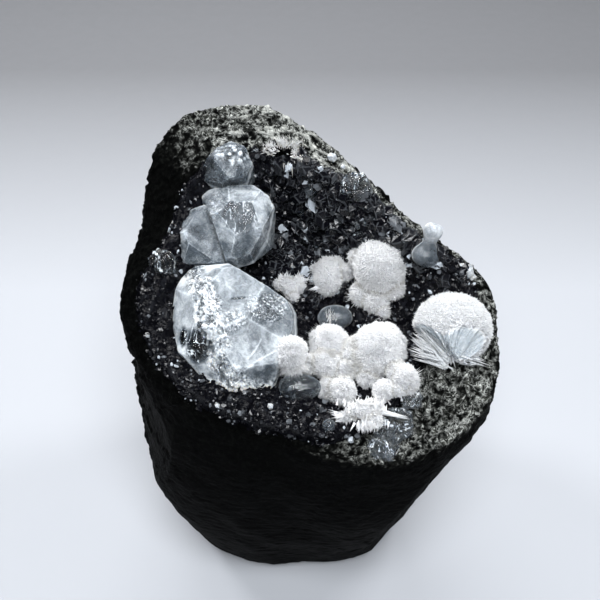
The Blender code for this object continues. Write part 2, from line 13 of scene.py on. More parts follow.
import bpy
import numpy as np
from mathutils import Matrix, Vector


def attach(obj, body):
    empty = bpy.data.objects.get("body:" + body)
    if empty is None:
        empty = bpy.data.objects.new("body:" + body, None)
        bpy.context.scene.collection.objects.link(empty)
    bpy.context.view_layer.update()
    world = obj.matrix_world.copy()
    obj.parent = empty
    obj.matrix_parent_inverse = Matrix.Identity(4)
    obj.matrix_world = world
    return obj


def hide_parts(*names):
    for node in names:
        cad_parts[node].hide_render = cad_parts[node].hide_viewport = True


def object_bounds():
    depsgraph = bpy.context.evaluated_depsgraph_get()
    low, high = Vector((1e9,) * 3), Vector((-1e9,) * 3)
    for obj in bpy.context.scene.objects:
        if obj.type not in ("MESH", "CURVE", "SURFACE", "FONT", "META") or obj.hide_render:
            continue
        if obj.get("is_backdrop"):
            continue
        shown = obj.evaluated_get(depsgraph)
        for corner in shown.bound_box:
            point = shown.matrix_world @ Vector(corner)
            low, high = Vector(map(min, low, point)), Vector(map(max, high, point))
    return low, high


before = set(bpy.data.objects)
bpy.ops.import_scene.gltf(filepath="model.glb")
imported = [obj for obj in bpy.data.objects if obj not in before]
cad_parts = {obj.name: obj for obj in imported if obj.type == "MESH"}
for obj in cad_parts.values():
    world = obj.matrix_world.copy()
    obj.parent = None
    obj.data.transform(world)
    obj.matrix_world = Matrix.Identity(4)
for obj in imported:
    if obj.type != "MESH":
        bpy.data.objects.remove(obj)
frame_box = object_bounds()
MM = 0.001
print("pieces in the frame:", len(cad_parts))

# %% [markdown]
# The camera looks down on the leaning face from the front, as a collector does with the stone in the
# hand. A longer lens would flatten it more, but a normal one close by shows how deep the hollow is.

# %% Camera
CAMERA_PLACE = (0.0, -80.0, 110.0)
CAMERA_DOWN = math.radians(42)
CAMERA_LENS = 52.08
CAMERA_NEAREST = 5.0

camera = bpy.data.objects.new("camera", bpy.data.cameras.new("camera"))
bpy.context.scene.collection.objects.link(camera)
camera.location = Vector(CAMERA_PLACE) * MM
camera.rotation_euler = (math.pi / 2 - CAMERA_DOWN, 0, 0)
camera.data.lens = CAMERA_LENS
camera.data.clip_start = CAMERA_NEAREST * MM
bpy.context.scene.camera = camera
print("camera looks down by, degrees:", round(math.degrees(CAMERA_DOWN)))

# %% [markdown]
# The main softbox hangs above and a little to the front, so that the white balls are lit all over. A
# second one behind edges the clear crystals with light. Both are wide, since a facet mirrors a wide
# lamp as a gentle sheen. Three small lamps put sharp glints on the black facets.

# %% Studio light
LAMPS = {
    "back_softbox": ((-50.0, 220.0, 300.0), 300.0, 0.85, (1.0, 1.0, 1.0)),
    "top_softbox": ((20.0, -160.0, 325.0), 190.0, 1.6, (0.96, 0.98, 1.0)),
    "front_lamp": ((-70.0, -260.0, 300.0), 60.0, 0.25, (0.97, 0.98, 1.0)),
    "left_spark": ((-190.0, 90.0, 250.0), 66.0, 0.45, (1.0, 1.0, 1.0)),
    "right_spark": ((170.0, 60.0, 300.0), 66.0, 0.45, (1.0, 1.0, 1.0)),
}
AIM = Vector((0.0, -2.0, 38.0)) * MM
SKY_COLOUR = (0.78, 0.85, 0.93, 1.0)
SKY_STRENGTH = 0.08

for name, (place, size, power, colour) in LAMPS.items():
    lamp = bpy.data.lights.new(name, "AREA")
    lamp.shape, lamp.size, lamp.energy, lamp.color = "DISK", size * MM, power, colour
    lamp_object = bpy.data.objects.new(name, lamp)
    bpy.context.scene.collection.objects.link(lamp_object)
    lamp_object.location = Vector(place) * MM
    lamp_object.rotation_euler = (AIM - lamp_object.location).to_track_quat("-Z", "Y").to_euler()

world = bpy.data.worlds.new("studio")
world.use_nodes = True
world.node_tree.nodes["Background"].inputs["Color"].default_value = SKY_COLOUR
world.node_tree.nodes["Background"].inputs["Strength"].default_value = SKY_STRENGTH
bpy.context.scene.world = world
bpy.context.scene.view_settings.view_transform = "Standard"
print("lamps:", len(LAMPS))

# %% [markdown]
# Every rough surface here starts from noise. It could be a texture, but then the mesh would stay
# smooth. Instead, numpy looks up a number for each corner of a grid of cells and blends between
# them, so the same few lines can push a hundred thousand points at once.

# %% Noise
NOISE_NUMBERS = 4096
NOISE_STRIDES = np.array((1, 57, 793))
WORM_SHARPNESS = 5


def stacked(*parts):
    """Places, or other rows of numbers, from their separate columns."""
    return np.stack(parts, axis=-1)


def cell_number(cell, seed):
    """A seeded number from -1 to 1 for each whole-numbered cell, found with a stride along each axis."""
    numbers = np.random.default_rng(seed).uniform(-1, 1, NOISE_NUMBERS)
    return numbers[cell.astype(int) @ NOISE_STRIDES % NOISE_NUMBERS]


def eased(share):
    """3s^2 - 2s^3 of a share kept between 0 and 1."""
    share = np.clip(share, 0, 1)
    return share * share * (3 - 2 * share)


def rough(points, size, seed):
    """Value noise from -1 to 1: the numbers of a cell's eight corners, weighted by eased distances."""
    cell = np.asarray(points, float) / size
    low = np.floor(cell)
    part = eased(cell - low)
    total = 0.0
    for corner in itertools.product((0, 1), repeat=3):
        weight = np.prod(np.where(corner, part, 1 - part), axis=-1)
        total = total + weight * cell_number(low + corner, seed)
    return total


def layered(points, size, seed, count):
    """Noise plus half as much at half the size, and so on, over a count of layers."""
    return sum(rough(points, size / 2**k, seed + k) / 2**k for k in range(count))


def nearest(points, size, seed):
    """The nearest of seeds scattered one to a cell: its distance in cells, the second least distance,
    the step from the seed and the seed's cell."""
    spot = np.asarray(points, float) / size
    cell = np.floor(spot)
    first = np.full(spot.shape[:-1], np.inf)
    second, step, owner = first.copy(), np.zeros_like(spot), np.zeros_like(spot)
    for shift in itertools.product((-1, 0, 1), repeat=3):
        place = cell + shift
        scatter = stacked(*(cell_number(place, seed + k) / 2 + 0.5 for k in range(3)))
        away = spot - place - scatter
        distance = np.linalg.norm(away, axis=-1)
        closer = distance < first
        second = np.where(closer, first, np.minimum(second, distance))
        first = np.where(closer, distance, first)
        step = np.where(closer[..., None], away, step)
        owner = np.where(closer[..., None], place, owner)
    return first, second, step, owner


def chips(points, size, seed):
    """Flat chips from about -1 to 1: how high each seed's own tilted plane passes over the point."""
    step, owner = nearest(points, size, seed)[2:]
    tilt = stacked(*(cell_number(owner, seed + 10 + k) for k in range(3)))
    return (step * tilt).sum(-1) + cell_number(owner, seed + 20) / 2


def grains(points, size, seed):
    """Rounded grains, 1 on top and about 0 between them: one less the distance to the nearest seed."""
    return 1 - nearest(points, size, seed)[0]


def worms(points, size, seed):
    """Ridges that wander like worms: 1 where layered noise crosses zero, falling off on both sides."""
    return 1 - np.minimum(abs(layered(points, size, seed, 2)) * WORM_SHARPNESS, 1)


print("noise at a point:", round(float(rough(np.array([1.2, 3.4, 5.6]), 1.0, 1)), 3))

# %% [markdown]
# A surface is a grid of points worked out all at once. Where its columns go round and its first and
# last rows are closed with a point each, it is sealed like an orange peel, so the mesh is sound
# wherever it is used.

# %% Grids into meshes


def grid_faces(rows, columns):
    """Quads between neighbouring rows and columns, where the last column joins the first."""
    numbers = np.arange(rows * columns).reshape(rows, columns)
    right = np.roll(numbers, -1, axis=1)
    return stacked(numbers[:-1], right[:-1], right[1:], numbers[1:]).reshape(-1, 4)


def closed_grid(grid, first_pole, last_pole):
    """Points and faces of a round grid whose first and last rows are closed with a point each."""
    rows, columns = grid.shape[:2]
    points = np.concatenate([grid.reshape(-1, 3), [first_pole, last_pole]])
    start, end = np.arange(columns), np.arange(columns) + (rows - 1) * columns
    first = stacked(np.roll(start, -1), start, np.full(columns, rows * columns))
    last = stacked(end, np.roll(end, -1), np.full(columns, rows * columns + 1))
    faces = [grid_faces(rows, columns), first, last]
    if signed_volume(points - points.mean(axis=0), faces) < 0:
        faces = [group[:, ::-1] for group in faces]
    return points, faces


def signed_volume(points, faces):
    """Six times the volume inside the faces, positive if they point outwards."""
    total = 0.0
    for group in faces:
        for k in range(1, group.shape[1] - 1):
            total += (points[group[:, 0]] * np.cross(points[group[:, k]], points[group[:, k + 1]])).sum()
    return total


def merged(parts):
    """One set of points and faces from several."""
    used, points, faces = 0, [], []
    for part_points, part_faces in parts:
        points.append(part_points)
        faces += [group + used for group in part_faces]
        used += len(part_points)
    return np.concatenate(points), faces


def new_piece(name, points, faces, finish, replaces=(), smooth=True, marks=None):
    """A piece from points in mm, riding on the frame; marks are named values for each point."""
    mesh = bpy.data.meshes.new(name)
    sizes = np.concatenate([np.full(len(group), group.shape[1]) for group in faces])
    corners = np.concatenate([group.ravel() for group in faces])
    mesh.vertices.add(len(points))
    mesh.vertices.foreach_set("co", (points * MM).astype(np.float32).ravel())
    mesh.loops.add(len(corners))
    mesh.loops.foreach_set("vertex_index", corners.astype(np.int32))
    mesh.polygons.add(len(sizes))
    mesh.polygons.foreach_set("loop_start", (np.cumsum(sizes) - sizes).astype(np.int32))
    mesh.update(calc_edges=True)
    mesh.polygons.foreach_set("use_smooth", np.full(len(sizes), smooth))
    mesh.materials.append(finish)
    for mark, values in (marks or {}).items():
        mesh.attributes.new(mark, "FLOAT", "POINT").data.foreach_set("value", values.astype(np.float32))
    piece = bpy.data.objects.new(name, mesh)
    bpy.context.scene.collection.objects.link(piece)
    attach(piece, "root")
    if replaces:
        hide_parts(*replaces)
    print(f"{name}: {int((sizes - 2).sum())} triangles")
    return piece


# %% [markdown]
# Materials are written as maths. A small class wraps a node's output so that values can be added and
# multiplied like numbers, and each sum becomes a Math node. They could be clicked together by hand,
# but written out, a recipe can be read from top to bottom.

# %% Shader maths


class Value:
    """One output of a node. Maths on it adds Math nodes to the same material."""

    def __init__(self, recipe, socket):
        self.recipe, self.socket = recipe, socket

    def maths(self, operation, first, second):
        """The output of a new Math node."""
        return self.recipe.node("ShaderNodeMath", {"operation": operation}, {0: first, 1: second})

    def __add__(self, other):
        return self.maths("ADD", self, other)

    def __radd__(self, other):
        return self.maths("ADD", other, self)

    def __sub__(self, other):
        return self.maths("SUBTRACT", self, other)

    def __rsub__(self, other):
        return self.maths("SUBTRACT", other, self)

    def __mul__(self, other):
        return self.maths("MULTIPLY", self, other)

    def __rmul__(self, other):
        return self.maths("MULTIPLY", other, self)

    def between(self, low, high):
        """0 below low, 1 above high and a straight ramp between."""
        ramp = (self - low) * (1 / (high - low))
        return self.maths("MINIMUM", self.maths("MAXIMUM", ramp, 0.0), 1.0)


class Recipe:
    """A material with a Principled shader, and the nodes that feed it."""

    def __init__(self, name, colour, roughness, **settings):
        self.material = bpy.data.materials.new(name)
        self.material.use_nodes = True
        self.tree = self.material.node_tree
        self.shader = self.tree.nodes["Principled BSDF"]
        self.set_shader(self.shader, Base_Color=(*colour, 1.0), Roughness=roughness, **settings)
        self.place = self.node("ShaderNodeTexCoord", {}, {}, "Object")

    def set_shader(self, shader, **values):
        """Put plain values on a shader's own sockets; an underscore in a name stands for a space."""
        for name, value in values.items():
            shader.inputs[name.replace("_", " ")].default_value = value

    def node(self, kind, settings, inputs, output=0):
        """Any node: its settings first, then numbers, colours or links for its sockets."""
        made = self.tree.nodes.new(kind)
        for name, value in settings.items():
            setattr(made, name, value)
        for name, value in inputs.items():
            self.feed(made.inputs[name], value)
        return Value(self, made.outputs[output])

    def feed(self, socket, value):
        """Link a value to a socket, or set it there if it is a number or a colour."""
        if isinstance(value, Value):
            self.tree.links.new(value.socket, socket)
        else:
            socket.default_value = (*value, 1.0) if isinstance(value, tuple) else value

    def mark(self, name):
        """The mesh's named value at each point."""
        return self.node("ShaderNodeAttribute", {"attribute_name": name}, {}, "Fac")

    def grain(self, size, detail=3.0, roughness=0.6, distortion=0.0):
        """Noise from 0 to 1, with lumps of a size in mm."""
        inputs = {"Vector": self.place, "Scale": 1 / (size * MM), "Detail": detail, "Roughness": roughness,
                  "Distortion": distortion}
        return self.node("ShaderNodeTexNoise", {}, inputs, "Fac")

    def cells(self, size, output="Distance"):
        """Distance to the nearest of points scattered a size in mm apart, or that point's own colour."""
        return self.node("ShaderNodeTexVoronoi", {}, {"Vector": self.place, "Scale": 1 / (size * MM)}, output)

    def blend(self, factor, first, second):
        """A colour between two, by a factor."""
        return self.node("ShaderNodeMix", {"data_type": "RGBA"}, {0: factor, 6: first, 7: second}, 2)

    def colour(self, value, shader=None):
        """Feed the base colour."""
        self.feed((shader or self.shader).inputs["Base Color"], value)

    def roughness(self, value, shader=None):
        """Feed the roughness."""
        self.feed((shader or self.shader).inputs["Roughness"], value)

    def bump(self, height, depth, shader=None):
        """Feed the normal from a height whose full step is a depth in mm."""
        made = self.node("ShaderNodeBump", {}, {"Height": height, "Distance": depth * MM}, "Normal")
        self.feed((shader or self.shader).inputs["Normal"], made)

    def mixed_with(self, factor, **values):
        """Mix the shader with a second Principled one by a factor, and return the second."""
        second = self.tree.nodes.new("ShaderNodeBsdfPrincipled")
        self.set_shader(second, **values)
        mix = self.tree.nodes.new("ShaderNodeMixShader")
        self.feed(mix.inputs[0], factor)
        self.tree.links.new(self.shader.outputs[0], mix.inputs[1])
        self.tree.links.new(second.outputs[0], mix.inputs[2])
        self.tree.links.new(mix.outputs[0], self.tree.nodes["Material Output"].inputs["Surface"])
        return second


print("shader helpers ready")

# %% [markdown]
# The floor is a plain pale sheet with painted shade that turns it greyer towards the back, as light
# falls off on a studio sweep. A wide disc is enough, since only its tone matters.

# %% Floor
FLOOR_REACH = 2500.0
FLOOR_DROP = 0.02
FLOOR_SIDES = 64

NEAR_TONE, SHADED_FAR_TONE = (0.385, 0.40, 0.43), (0.18, 0.184, 0.196)
FAR_START, FAR_END = 45.0, 135.0

floor_finish = Recipe("pale_floor", NEAR_TONE, 0.6, Specular_IOR_Level=0.2)
back = floor_finish.node("ShaderNodeSeparateXYZ", {}, {0: floor_finish.place}, "Y")
floor_finish.colour(floor_finish.blend(back.between(FAR_START * MM, FAR_END * MM), NEAR_TONE, SHADED_FAR_TONE))
floor_finish.roughness(0.5 + 0.2 * floor_finish.grain(4.0))
spin = np.linspace(0, math.tau, FLOOR_SIDES, endpoint=False)
disc = stacked(FLOOR_REACH * np.cos(spin), FLOOR_REACH * np.sin(spin), 0 * spin - FLOOR_DROP)
floor_mesh = bpy.data.meshes.new("floor")
floor_mesh.from_pydata((disc * MM).tolist(), [], [list(range(FLOOR_SIDES))])
floor_mesh.materials.append(floor_finish.material)
floor = bpy.data.objects.new("floor", floor_mesh)
bpy.context.scene.collection.objects.link(floor)
floor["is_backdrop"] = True
print("floor across, m:", 2 * FLOOR_REACH * MM)

# %% [markdown]
# The rock's broken face leans back. Places on it are measured across, upslope and outward from its
# middle, because the hollow and all that grows in it follow the face and not the table.

# %% The leaning face and its rim
FACE_TILT = math.radians(35)
FACE_MIDDLE = np.array([0.0, -4.0, 43.2])
FACE_AXES = np.array([
    (1.0, 0.0, 0.0),
    (0.0, math.cos(FACE_TILT), math.sin(FACE_TILT)),
    (0.0, -math.sin(FACE_TILT), math.cos(FACE_TILT)),
])
RIM = (
    (22.2, 0.0, 0.3), (19.3, 3.4, 0.7), (16.4, 5.9, 0.2), (10.7, 11.1, -0.5), (4.8, 16.6, 0.4),
    (0.2, 20.1, 1.2), (-3.9, 22.4, 1.5), (-8.8, 22.8, 0.9), (-13.2, 22.3, 0.5), (-15.8, 19.8, 1.2),
    (-17.6, 16.6, 0.9), (-18.4, 13.0, -0.2), (-18.8, 9.0, -0.9), (-19.8, 5.0, -0.3), (-20.7, 0.2, 0.5),
    (-20.2, -3.8, 0.1), (-18.4, -8.2, -0.5), (-14.8, -12.6, -0.7), (-9.2, -15.8, -0.2), (-2.4, -17.6, 0.4),
    (4.0, -19.8, 0.8), (9.6, -19.9, 0.2), (15.0, -18.6, -0.4), (19.8, -15.0, 0.2), (22.3, -11.0, 0.6),
    (22.8, -5.6, 0.2),
)
SPAN_STEPS = 40
RIM_STEPS = 360


def face_place(local):
    """World place in mm of places measured across, upslope and outward."""
    return FACE_MIDDLE + np.asarray(local, float) @ FACE_AXES


def catmull_rom(before, start, end, after, part):
    """The cubic through start and end whose slopes there come from the points on either side."""
    bend = 2 * before - 5 * start + 4 * end - after
    twist = 3 * start - before - 3 * end + after
    return 0.5 * (2 * start + (end - before) * part + bend * part**2 + twist * part**3)


def loop_value(values, place):
    """Catmull-Rom value of a closed list at places counted in list steps."""
    values = np.asarray(values, float)
    low = np.floor(place).astype(int)
    part = place - low
    if values.ndim > 1:
        part = part[..., None]
    return catmull_rom(*(values[(low + step) % len(values)] for step in (-1, 0, 1, 2)), part)


def round_value(values, angle):
    """Value at an angle in radians of a list that goes once round."""
    return loop_value(values, angle / math.tau % 1 * len(values))


def even_loop(points, share):
    """Points on the smooth closed curve through the given points, at shares of its length."""
    places = np.linspace(0, len(points), SPAN_STEPS * len(points) + 1)
    steps = np.linalg.norm(np.diff(loop_value(points, places), axis=0), axis=1)
    run = np.concatenate([[0], np.cumsum(steps)])
    return loop_value(points, np.interp(share % 1 * run[-1], run, places))


def rim_ring(count):
    """Points spread evenly along the rim, their angles, and their distances from the face's middle."""
    ring = even_loop(RIM, np.linspace(0, 1, count, endpoint=False))
    return ring, np.arctan2(ring[:, 1], ring[:, 0]), np.hypot(ring[:, 0], ring[:, 1])


rim_curve, rim_angles, rim_reaches = rim_ring(RIM_STEPS)


def rim_at(angle):
    """Distance from the face's middle to the rim, and the rim's height, at an angle."""
    reach = np.interp(angle, rim_angles, rim_reaches, period=math.tau)
    return reach, np.interp(angle, rim_angles, rim_curve[:, 2], period=math.tau)


print("rim width and height, mm:", np.ptp(rim_curve[:, 0]).round(1), np.ptp(rim_curve[:, 1]).round(1))

# %% [markdown]
# The hollow's floor is a height over the face: a bare band inside the rim, an eased slope, then a
# bowl that is deepest towards the top. A height field is the simplest form that never folds.

# %% The hollow's floor
BAND_WIDTH = (1.4, 1.3, 1.4, 3.6, 6.0, 3.6, 1.5, 1.2, 0.8, 0.8, 4.5, 8.5)
SLOPE_LENGTH = (7.5, 8.0, 9.0, 8.5, 8.0, 8.0, 9.0, 9.0, 10.0, 9.0, 6.5, 5.0)
BAND_FALL = 0.12
HOLLOW_DEPTH = 9.5
HOLLOW_BASE_DEPTH = 2.8
HOLLOW_MIDDLE = (1.0, 9.5)
HOLLOW_SPREAD = (14.0, 13.0)
FLOOR_LUMPS, FLOOR_LUMP_SIZE, FLOOR_SEED = 0.5, 4.5, 11
RIM_FADE = 2.0
CRUST_GAP, CRUST_THICKNESS, DRUSE_HEIGHT = 0.45, 0.6, 1.5
GAS_HOLE, GAS_HOLE_RADIUS, GAS_HOLE_DEPTH = (-1.8, 16.7), 1.1, 1.0
GAS_HOLE_STRETCH, GAS_HOLE_EDGE = 1.25, 0.5


def in_gas_hole(across, upslope):
    """1 in the middle of the round gas hole near the top, falling to 0 just past its edge."""
    distance = np.hypot(across - GAS_HOLE[0], (upslope - GAS_HOLE[1]) * GAS_HOLE_STRETCH)
    return eased((GAS_HOLE_RADIUS - distance) / GAS_HOLE_EDGE + 0.5)


def inset_and_band(across, upslope):
    """Distance inside the rim, and the width there of the bare band."""
    angle = np.arctan2(upslope, across)
    return rim_at(angle)[0] - np.hypot(across, upslope), round_value(BAND_WIDTH, angle)


def floor_height(across, upslope):
    """Height of the rock under the druse: band, slope, a bowl like exp(-distance^2), and a gas hole."""
    across, upslope = np.asarray(across, float), np.asarray(upslope, float)
    angle = np.arctan2(upslope, across)
    inset, band = inset_and_band(across, upslope)
    drop = eased((inset - band) / round_value(SLOPE_LENGTH, angle))
    spread = ((across - HOLLOW_MIDDLE[0]) / HOLLOW_SPREAD[0])**2
    spread = spread + ((upslope - HOLLOW_MIDDLE[1]) / HOLLOW_SPREAD[1])**2
    depth = HOLLOW_BASE_DEPTH + HOLLOW_DEPTH * np.exp(-spread)
    flat = stacked(across, upslope, 0 * across)
    depth = depth + FLOOR_LUMPS * rough(flat, FLOOR_LUMP_SIZE, FLOOR_SEED)
    edge = rim_at(angle)[1] * np.clip(1 - inset / (band + RIM_FADE), 0, 1)
    height = edge - BAND_FALL * np.clip(inset, 0, band) - drop * depth
    return height - GAS_HOLE_DEPTH * in_gas_hole(across, upslope)


def crust_middle(across, upslope):
    """Height over the face of the middle of the druse's crystals."""
    return floor_height(across, upslope) + CRUST_GAP + CRUST_THICKNESS + DRUSE_HEIGHT / 2


print("deepest floor, mm under the face:", round(float(floor_height(*HOLLOW_MIDDLE)), 1))

# %% [markdown]
# The rock is one closed surface: from the middle of the hollow out over the band and the rim, down
# the wall and in to the middle of the foot. The wall runs from rim to foot with a swell, and flat
# breaks press it back. It could be sculpted, but a profile for each direction round the rock keeps
# the shape of the solid in the frame.

# %% The rock's wall
FOOT_RADIUS = (13.0, 13.5, 14.5, 15.5, 14.5, 14.0, 14.5, 16.2, 15.8, 13.8, 14.6, 14.4)
WALL_SWELL = (3.2, 3.0, 3.4, 3.2, 3.4, 3.0, 3.2, 4.2, 3.9, 3.2, 3.6, 4.0)
WALL_SHOULDER = (0.3, 1.5, 4.6, 5.4, 4.2, 1.6, 0.3, 0.0, 0.0, 0.0, 0.0, 0.0)
WALL_ROUGHNESS = (0.7, 1.1, 1.3, 1.3, 1.3, 1.0, 0.6, 0.5, 0.45, 0.45, 0.45, 0.5)
WALL_LUMPS = ((7.0, 1.0, 3), (3.2, 0.6, 4))
FOOT_ROUNDING, FOOT_FLARE, FOOT_TURN = 1.6, 4, 30
ROCK_HEART = np.array([0.0, -1.0, 24.0])
BREAKS = (
    (22, 6, 19.2), (58, 26, 22.6), (76, -4, 17.8), (112, 34, 25.2), (116, 2, 17.9), (148, 8, 19.2),
    (92, -38, 23.6), (172, -30, 22.6), (36, -34, 22.8), (140, -34, 23.4), (205, 8, 20.2),
    (318, -20, 20.8), (250, -24, 22.3),
)
BREAK_START = 0.3
LUMP_FADE = 12


def hump(share, lean):
    """share * (1 - share)^lean, scaled to a height of 1."""
    top = 1 / (1 + lean)
    return share * (1 - share)**lean / (top * (1 - top)**lean)


def broken(points, strength):
    """Press points that stand out past a flat break back to it."""
    for azimuth, height, distance in BREAKS:
        azimuth, height = math.radians(azimuth), math.radians(height)
        level = math.cos(height)
        look = np.array([math.cos(azimuth) * level, math.sin(azimuth) * level, math.sin(height)])
        past = np.maximum((points - ROCK_HEART) @ look - distance, 0)
        points = points - look * (past * strength)[..., None]
    return points


def wall(rim, share):
    """Wall points at shares down from the rim: a straight run, two humps, breaks, lumps and a round foot."""
    top = face_place(rim)
    angle = np.arctan2(top[:, 1] - ROCK_HEART[1], top[:, 0] - ROCK_HEART[0])
    away = stacked(np.cos(angle), np.sin(angle), 0 * angle)
    foot = away * (round_value(FOOT_RADIUS, angle) - FOOT_ROUNDING)[:, None]
    share = share[:, None]
    swell = round_value(WALL_SWELL, angle) * hump(share, 1)
    swell = swell + round_value(WALL_SHOULDER, angle) * hump(share, 3)
    points = top + (foot - top) * share[..., None] + away * swell[..., None]
    points = broken(points, eased(share / BREAK_START))
    lumps = sum(height * rough(points, size, seed) for size, height, seed in WALL_LUMPS)
    out = points - ROCK_HEART
    out = out / np.linalg.norm(out, axis=-1, keepdims=True)
    fade = eased(share * LUMP_FADE) * eased((1 - share) * LUMP_FADE)
    points = points + out * (round_value(WALL_ROUGHNESS, angle) * lumps * fade)[..., None]
    rounding = FOOT_ROUNDING * share**FOOT_FLARE * (1 - share**FOOT_TURN)
    return points + away * rounding[..., None], angle


print("rim height at the back, mm:", round(float(face_place(rim_curve)[:, 2].max()), 1))

# %% [markdown]
# Broken basalt has flat chips a few millimetres wide, and a fine grain. The front wall is smoother,
# with a grain that runs level. All of it is pushed along the surface's own normals. A small blur down
# each profile comes first, because the rim of a real stone is never knife-sharp.

# %% The rock's surface
ROCK_COLUMNS = 480
INNER_ROWS, BAND_ROWS, WALL_ROWS, FOOT_ROWS = 6, 64, 124, 6
FIRST_RING, LAST_RING, BAND_OVERLAP = 0.05, 0.1, 0.02
RIM_BLUR = 3
CHIP_DEPTH = (0.25, 0.45, 0.6, 0.6, 0.6, 0.6, 0.42, 0.16, 0.07, 0.07, 0.08, 0.12)
FULL_CHIP_DEPTH = 0.45
CHIP_SIZE, SPLINTER_SIZE, SPLINTER_DEPTH = 2.7, 1.15, 0.5
GRAIN_SIZE, GRAIN_DEPTH, LEVEL_GRAIN = 0.5, 0.13, 0.45
LEVEL_STRETCH = (0.4, 0.4, 1.7)
BAND_CHIPS, WORM_SIZE, WORM_DEPTH, WORM_MIDDLE = 0.2, 0.95, 0.3, 0.4
WARP, WARP_SIZE = 0.5, 1.5


def grid_normals(grid):
    """Normals of a round grid, from the steps to the neighbours along rows and columns."""
    down = np.gradient(grid, axis=0)
    right = np.roll(grid, -1, axis=1) - np.roll(grid, 1, axis=1)
    normal = np.cross(down, right)
    return normal / np.maximum(np.linalg.norm(normal, axis=-1, keepdims=True), 1e-9)


rock_rim, rim_angle, rim_reach = rim_ring(ROCK_COLUMNS)
inner_edge = 1 - BAND_OVERLAP - round_value(BAND_WIDTH, rim_angle) / rim_reach
inner = np.linspace(FIRST_RING, 1, INNER_ROWS, endpoint=False)[:, None] * inner_edge
band = inner_edge + np.linspace(0, 1, BAND_ROWS)[:, None] * (1 - inner_edge)
out = np.concatenate([inner, band])
across, upslope = out * rock_rim[:, 0], out * rock_rim[:, 1]
hollow_rows = face_place(stacked(across, upslope, floor_height(across, upslope)))
wall_rows, wall_angle = wall(rock_rim, np.linspace(0, 1, WALL_ROWS + 1)[1:])
foot_rows = wall_rows[-1] * np.linspace(1, LAST_RING, FOOT_ROWS + 1)[1:, None, None]
rock = np.concatenate([hollow_rows, wall_rows, foot_rows])
for _ in range(RIM_BLUR):
    rock[1:-1] = rock[1:-1] / 2 + (rock[:-2] + rock[2:]) / 4

normal = grid_normals(rock)
normal = normal * np.sign((normal * (rock - ROCK_HEART)).sum(axis=-1).mean())
row = np.arange(len(rock))[:, None]
rim_row, foot_row = len(hollow_rows), len(hollow_rows) + WALL_ROWS
past_rim = eased((row - rim_row + 3) / 8)
on_wall = past_rim * eased((foot_row - 1 - row) / 5)
on_band = eased((row - INNER_ROWS) / 4) * (1 - past_rim)
chip_depth = round_value(CHIP_DEPTH, wall_angle)
rough_share = eased(chip_depth / FULL_CHIP_DEPTH)
warped = rock + WARP * stacked(*(rough(rock, WARP_SIZE, seed) for seed in (5, 6, 7)))
chip = chips(warped, CHIP_SIZE, 40) + SPLINTER_DEPTH * chips(warped, SPLINTER_SIZE, 50)
fine = layered(rock, GRAIN_SIZE, 31, 2)
level_grain = LEVEL_GRAIN * layered(rock * LEVEL_STRETCH, GRAIN_SIZE, 35, 2)
worm = worms(warped, WORM_SIZE, 38)
wall_push = chip_depth * chip + GRAIN_DEPTH * (rough_share * fine + (1 - rough_share) * level_grain)
band_push = BAND_CHIPS * chip + WORM_DEPTH * (worm - WORM_MIDDLE) + GRAIN_DEPTH * fine
rock = rock + normal * (on_wall * wall_push + on_band * band_push)[..., None]
rock[foot_row - 1:, :, 2] = 0.0
print("rock rows and columns:", rock.shape[:2])

# %% [markdown]
# A round gas hole shows low on the front. The points near its middle are pushed in to a bowl, which
# keeps the rock one closed surface.

# %% The gas hole low on the wall
WALL_HOLE, WALL_HOLE_RADIUS = (-6.0, -16.2, 2.6), 1.1
WALL_HOLE_EDGE, WALL_HOLE_DEPTH = 0.5, 0.8

from_hole = np.linalg.norm(rock - np.array(WALL_HOLE), axis=-1)
hole = eased((WALL_HOLE_RADIUS - from_hole) / WALL_HOLE_EDGE) * (row < foot_row - 3)
rock = rock - normal * (WALL_HOLE_DEPTH * hole)[..., None]
print("points in the gas hole:", int((hole > 0).sum()))

# %% [markdown]
# The rock's finish is nearly black. A greenish-grey bloom of tiny flakes lies on the band, thickest at
# the top and on the broad flat at the right, and its crests glint. The same value also paints light: the
# band is paler where it faces up, partly bloom and partly painted light, and chips on the wall that face
# up are painted pale as if lit. How thick it lies is a value stored on each point, since it follows the
# rock's shape; the flakes themselves are a noise in the material.

# %% The rock's finish and piece
BLACK_ROCK, WORN_ROCK = (0.0007, 0.0008, 0.0008), (0.0035, 0.004, 0.0035)
DARK_BLOOM, GREY_BLOOM, PALE_BLOOM = (0.006, 0.0065, 0.006), (0.12, 0.126, 0.112), (0.85, 0.88, 0.84)
FROST_AND_LIGHT = (0.52, 0.53, 0.50)
FLAKE_SIZE, CREST_WIDTH, ROCK_BUMP = 0.7, 0.08, 0.28
BAND_BLOOM_AND_LIGHT = (0.8, 0.9, 1.25, 2.2, 0.9, -0.4, 0.0, 0.0, 0.0, 0.1, 0.75, 0.8)

rock_finish = Recipe("basalt", BLACK_ROCK, 0.6, Specular_IOR_Level=0.02)
flake = rock_finish.grain(FLAKE_SIZE, 2.0, 0.55, 1.2)
off_crest = rock_finish.node("ShaderNodeMath", {"operation": "ABSOLUTE"}, {0: flake - 0.5})
crest = (1 - off_crest * (1 / CREST_WIDTH)).between(0.0, 1.0)
patch = rock_finish.grain(3.2, 4.0)
bloom_and_light = rock_finish.mark("bloom_and_light") * (0.55 + 0.75 * patch.between(0.3, 0.7))
speck = rock_finish.grain(0.3, 2.0).between(0.5, 0.66)
stone = rock_finish.blend(rock_finish.grain(0.5, 4.0).between(0.5, 0.8), BLACK_ROCK, WORN_ROCK)
dust_and_light = rock_finish.blend(rock_finish.grain(0.4, 3.0).between(0.42, 0.66), DARK_BLOOM, GREY_BLOOM)
dust_and_light = rock_finish.blend(bloom_and_light.between(0.6, 1.3), dust_and_light, FROST_AND_LIGHT)
